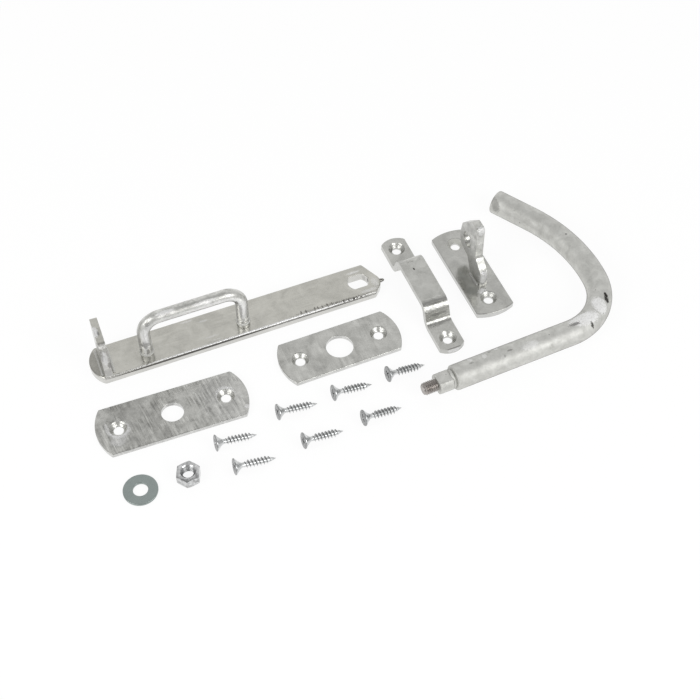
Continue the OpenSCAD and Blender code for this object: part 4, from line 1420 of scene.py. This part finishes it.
class LATCH_OT_wood_screws(bpy.types.Operator):
    """Make one wood screw and lay it in its seven places"""

    bl_idname = "latch.wood_screws"
    bl_label = "Wood screws"

    TURNS = (-0.2, -2.2, -2.7, 0.3, -1.2, -3.7, -3.6)  # how each screw lies on the floor, in degrees
    ROLLS = (20.0, 52.0, 8.0, 33.0, 70.0, 41.0, 14.0)  # and how far it is turned about its own axis

    def execute(self, context):
        settings = context.scene.latch
        sizes = settings.screws
        platings = self.platings(settings.finish)
        screw = self.screw(sizes, platings[0])
        for number, (yaw, roll) in enumerate(zip(self.TURNS, self.ROLLS), 1):
            node = f"screw_{number}"
            place = self.resting_place(node, sizes, radians(yaw), radians(roll))
            mesh = joined(node, [(part, place, index) for index, part in enumerate(screw)])
            shade(mesh, 32.0)
            self.paint_head(mesh, place.inverted(), sizes)
            piece(f"wood_screw_{number}", mesh, platings, DOOR, PLATED, node)
        return {"FINISHED"}

    def platings(self, finish):
        """The bright plating, the painted shade on the thread's crests and in the recess, and the dull
        plating of the head.
        """
        bright = steel_material(
            "Bright plating on the screws", finish.plating_light, finish.plating_dark, 0.3, patch=2.0,
            grain=0.5, contrast=0.7, relief=0.02,
        )
        # Painted shade on the thread's crests and in the cross recess
        grey = steel_material(
            "Painted shade on the screws' crests and recess", finish.plating_dark, toned(finish.crest_dark, 1.4), 0.4, patch=2.0,
            grain=0.5, contrast=0.7, relief=0.01,
        )
        dull = steel_material(
            "Dull plating on the screws' heads", finish.plating_dark, finish.crest_dark, 0.3, patch=2.0,
            grain=0.5, contrast=0.8, relief=0.03,
        )
        return bright, grey, dull

    def resting_place(self, node, sizes, yaw, roll):
        """Lays a screw on its head's rim and its last full crest, with its tip where the CAD node's is."""
        low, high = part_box(node)
        head, rim = sizes.head_diameter / 2, sizes.head_rim
        lean = atan2(head - sizes.thread_diameter / 2, sizes.screw_length - sizes.tip_length - rim)
        turn = Matrix.Rotation(yaw, 4, "Z") @ Matrix.Rotation(pi / 2 + lean, 4, "Y")
        face = Vector((high.x, (low.y + high.y) / 2, head * cos(lean) + rim * sin(lean)))
        face.x -= (turn @ Vector((0.0, 0.0, sizes.screw_length))).x
        face.y -= (turn @ Vector((0.0, 0.0, rim))).y
        return Matrix.Translation(face) @ (turn @ Matrix.Rotation(roll, 4, "Z"))

    def paint_head(self, mesh, home, sizes):
        """Gives the head's face its dull plating and the cross recess in it the painted shade."""
        face_depth = 0.2 * MM
        for face in mesh.polygons:
            centre = home @ face.center
            inside = Vector((centre.x, centre.y)).length < sizes.recess_length * 0.62
            if face.material_index == 0 and centre.z < sizes.recess_depth + 0.1 * MM:
                if centre.z < face_depth:
                    face.material_index = 2
                elif inside:
                    face.material_index = 1

    def screw(self, sizes, plating):
        """A screw's body and its thread along +Z, with the middle of its head's face at the origin."""
        head, core, rim = sizes.head_diameter / 2, sizes.core_diameter / 2, sizes.head_rim
        end, tip = sizes.screw_length, sizes.tip_length
        # The flat face with its rounded edge, and the rim
        profile = [
            (0.0, 0.0), (head - 0.25 * MM, 0.0), (head - 0.05 * MM, 0.1 * MM), (head, 0.3 * MM),
            (head - 0.05 * MM, rim),
        ]
        # The cone, which runs out into the core
        cone = head - core
        for part in (i / 10 for i in range(1, 11)):
            profile.append((core + cone * (1 - part) ** 1.35 * 0.97, rim + cone * 1.15 * part))
        # The core and its pointed tip
        profile += [
            (core, end - tip), (core * 0.55, end - tip * 0.4), (0.12 * MM, end - 0.1 * MM), (0.0, end),
        ]
        body = lathe(profile, 48)
        for quarter in (0.0, pi / 2):
            tool = self.wing(sizes)
            tool.transform(Matrix.Rotation(quarter, 4, "Z"))
            body = cut(body, tool, "DIFFERENCE")
        shade(body, 32.0)
        start = sizes.thread_start
        ridge = thread_ridge(
            core - 0.03 * MM, sizes.thread_diameter / 2, sizes.thread_pitch, end - start - 0.2 * MM, tip,
            sizes.ridge_width, plating,
        )
        ridge.transform(Matrix.Translation((0.0, 0.0, start)))
        return body, ridge

    def wing(self, sizes):
        """A tapered blade that cuts one pair of the recess's wings, from above the face to its depth."""
        half, wide = sizes.recess_length / 2, sizes.recess_width / 2
        corners = ((-1, -1), (1, -1), (1, 1), (-1, 1))
        return loft(*(
            [(x * half * long, y * wide * broad, z) for x, y in corners]
            for z, long, broad in ((-0.5 * MM, 1.12, 1.1), (sizes.recess_depth, 0.42, 0.62))
        ))


class LATCH_OT_stage(bpy.types.Operator):
    """Set up the camera, the pale floor and the soft light"""

    bl_idname = "latch.stage"
    bl_label = "Stage"

    # The share of a half turn from the camera's side over the top to the far side, and the grey there
    SHELL_TONES = (
        (0.0, 0.30), (0.07, 0.30), (0.14, 0.55), (0.30, 0.55), (0.42, 0.38), (0.53, 0.30),
        (0.60, 0.55), (0.66, 0.84), (0.72, 0.90), (0.86, 0.90), (1.0, 0.80),
    )
    FLOOR_WHITE = 1.02  # just past 1, so that the lit floor comes out white

    def execute(self, context):
        scene, stage = context.scene, context.scene.latch.stage
        scene.view_settings.view_transform = "Standard"
        target = Vector(stage.camera_target)
        place = Vector(stage.camera_place)
        camera = bpy.data.objects.new("camera", bpy.data.cameras.new("camera"))
        camera.data.lens = stage.lens
        camera.data.sensor_width = 36.0
        camera.data.clip_start = 0.01
        camera.location = place
        camera.rotation_euler = (target - place).to_track_quat("-Z", "Y").to_euler()
        scene.collection.objects.link(camera)
        scene.camera = camera
        self.floor(scene, stage)
        self.light(scene, stage, target, place)
        return {"FINISHED"}

    def floor(self, scene, stage):
        """A pale floor. The eye and the pieces' reflections see its shadows lightened."""
        half = stage.floor_size / 2
        mesh = bpy.data.meshes.new("floor")
        corners = [(x * half, y * half, 0.0) for x, y in ((-1, -1), (1, -1), (1, 1), (-1, 1))]
        mesh.from_pydata(corners, [], [(0, 1, 2, 3)])
        material = bpy.data.materials.new("Pale floor")
        material.use_nodes = True
        tree = material.node_tree
        tree.nodes.clear()
        rays = add(tree, "ShaderNodeLightPath").outputs
        seen = Wire(tree, rays["Is Camera Ray"]).math("MAXIMUM", rays["Is Glossy Ray"])
        seen = seen.math("MAXIMUM", rays["Is Transmission Ray"])
        paper = add(tree, "ShaderNodeBsdfDiffuse", {"Color": (*stage.floor_colour, 1.0)}).outputs[0]
        white = add(tree, "ShaderNodeEmission", {"Color": (1.0, 1.0, 1.0, 1.0), "Strength": self.FLOOR_WHITE})
        both = add(tree, "ShaderNodeMixShader", {0: seen * stage.floor_lift, 1: paper, 2: white.outputs[0]})
        add(tree, "ShaderNodeOutputMaterial", {"Surface": both.outputs[0]})
        mesh.materials.append(material)
        floor = bpy.data.objects.new("floor", mesh)
        scene.collection.objects.link(floor)

    def light(self, scene, stage, target, place):
        """The soft shell, and a soft lamp on each side of the camera."""
        facing = place - target
        facing.z = 0.0
        facing.normalize()
        self.shell(scene, stage, facing)
        for number, spread in enumerate((-stage.lamp_spread, stage.lamp_spread), 1):
            way = Matrix.Rotation(spread, 3, "Z") @ facing * cos(stage.lamp_height)
            way.z = sin(stage.lamp_height)
            lamp = bpy.data.lights.new(f"Soft lamp {number}", "AREA")
            lamp.shape = "RECTANGLE"
            lamp.size, lamp.size_y, lamp.energy = stage.lamp_width, stage.lamp_depth, stage.lamp_power
            obj = bpy.data.objects.new(lamp.name, lamp)
            obj.location = target + way * stage.lamp_distance
            obj.rotation_euler = (target - obj.location).to_track_quat("-Z", "Y").to_euler()
            scene.collection.objects.link(obj)

    def shell(self, scene, stage, facing):
        """The world's tone, by the angle in the plane that the camera looks along. The eye sees it white."""
        world = bpy.data.worlds.new("Soft studio")
        world.use_nodes = True
        tree = world.node_tree
        tree.nodes.clear()
        way = add(tree, "ShaderNodeTexCoord").outputs["Generated"]
        up = Wire(tree, add(tree, "ShaderNodeSeparateXYZ", {0: way}).outputs[2])
        shares = [
            add(tree, "ShaderNodeVectorMath", {0: way, 1: axis}, operation="DOT_PRODUCT").outputs["Value"]
            for axis in (facing, Vector((-facing.y, facing.x, 0.0)))
        ]
        ahead, across = (Wire(tree, share_along) for share_along in shares)
        ramp = add(tree, "ShaderNodeValToRGB", {"Fac": up.math("ARCTAN2", ahead) / pi})
        stops = ramp.color_ramp.elements
        stops[0].position, stops[1].position = 0.0, 1.0
        for at, tone in self.SHELL_TONES:
            stop = next((e for e in stops if abs(e.position - at) < 1e-3), None) or stops.new(at)
            stop.color = (tone, tone, tone, 1.0)
        beside = across.math("ABSOLUTE").ramp(0.4, 0.9)
        tone = mixed(tree, beside, ramp.outputs[0], (*[stage.side_tone] * 3, 1.0))
        eye = add(tree, "ShaderNodeLightPath").outputs["Is Camera Ray"]
        seen = mixed(tree, eye, tone, (1.0, 1.0, 1.0, 1.0))
        glow = add(tree, "ShaderNodeBackground", {"Color": seen, "Strength": 1.0})
        add(tree, "ShaderNodeOutputWorld", {"Surface": glow.outputs[0]})
        scene.world = world


PIECES = (
    LATCH_OT_flat_bar, LATCH_OT_padlock_lug, LATCH_OT_bearing_plates, LATCH_OT_bar_keeper, LATCH_OT_catch,
    LATCH_OT_pull_handle, LATCH_OT_bow_handle, LATCH_OT_welds, LATCH_OT_washer, LATCH_OT_nut,
    LATCH_OT_wood_screws, LATCH_OT_stage,
)


class LATCH_PT_kit(bpy.types.Panel):
    bl_idname = "LATCH_PT_kit"
    bl_label = "Latch kit"
    bl_space_type = "VIEW_3D"
    bl_region_type = "UI"
    bl_category = "Latch kit"

    def draw(self, context):
        settings = context.scene.latch
        for operator in PIECES:
            self.layout.operator(operator.bl_idname)
        for group in ("edges", "bow", "spindle", "screws", "finish", "stage"):
            box, values = self.layout.box(), getattr(settings, group)
            for name in values.bl_rna.properties.keys():
                if name not in ("rna_type", "name"):
                    box.prop(values, name)


CLASSES = (
    LatchEdgeSettings, LatchBowSettings, LatchSpindleSettings, LatchScrewSettings, LatchFinishSettings,
    LatchStageSettings, LatchSettings, *PIECES, LATCH_PT_kit,
)


def register():
    for entry in CLASSES:
        bpy.utils.register_class(entry)
    bpy.types.Scene.latch = PointerProperty(type=LatchSettings)


def unregister():
    del bpy.types.Scene.latch
    for entry in reversed(CLASSES):
        bpy.utils.unregister_class(entry)


def main():
    register()
    bpy.ops.latch.stage()
    bpy.ops.latch.flat_bar()
    bpy.ops.latch.padlock_lug()
    bpy.ops.latch.bearing_plates()
    bpy.ops.latch.bar_keeper()
    bpy.ops.latch.catch()
    bpy.ops.latch.pull_handle()
    bpy.ops.latch.bow_handle()
    bpy.ops.latch.welds()
    bpy.ops.latch.washer()
    bpy.ops.latch.nut()
    bpy.ops.latch.wood_screws()


if __name__ == "__main__":
    main()
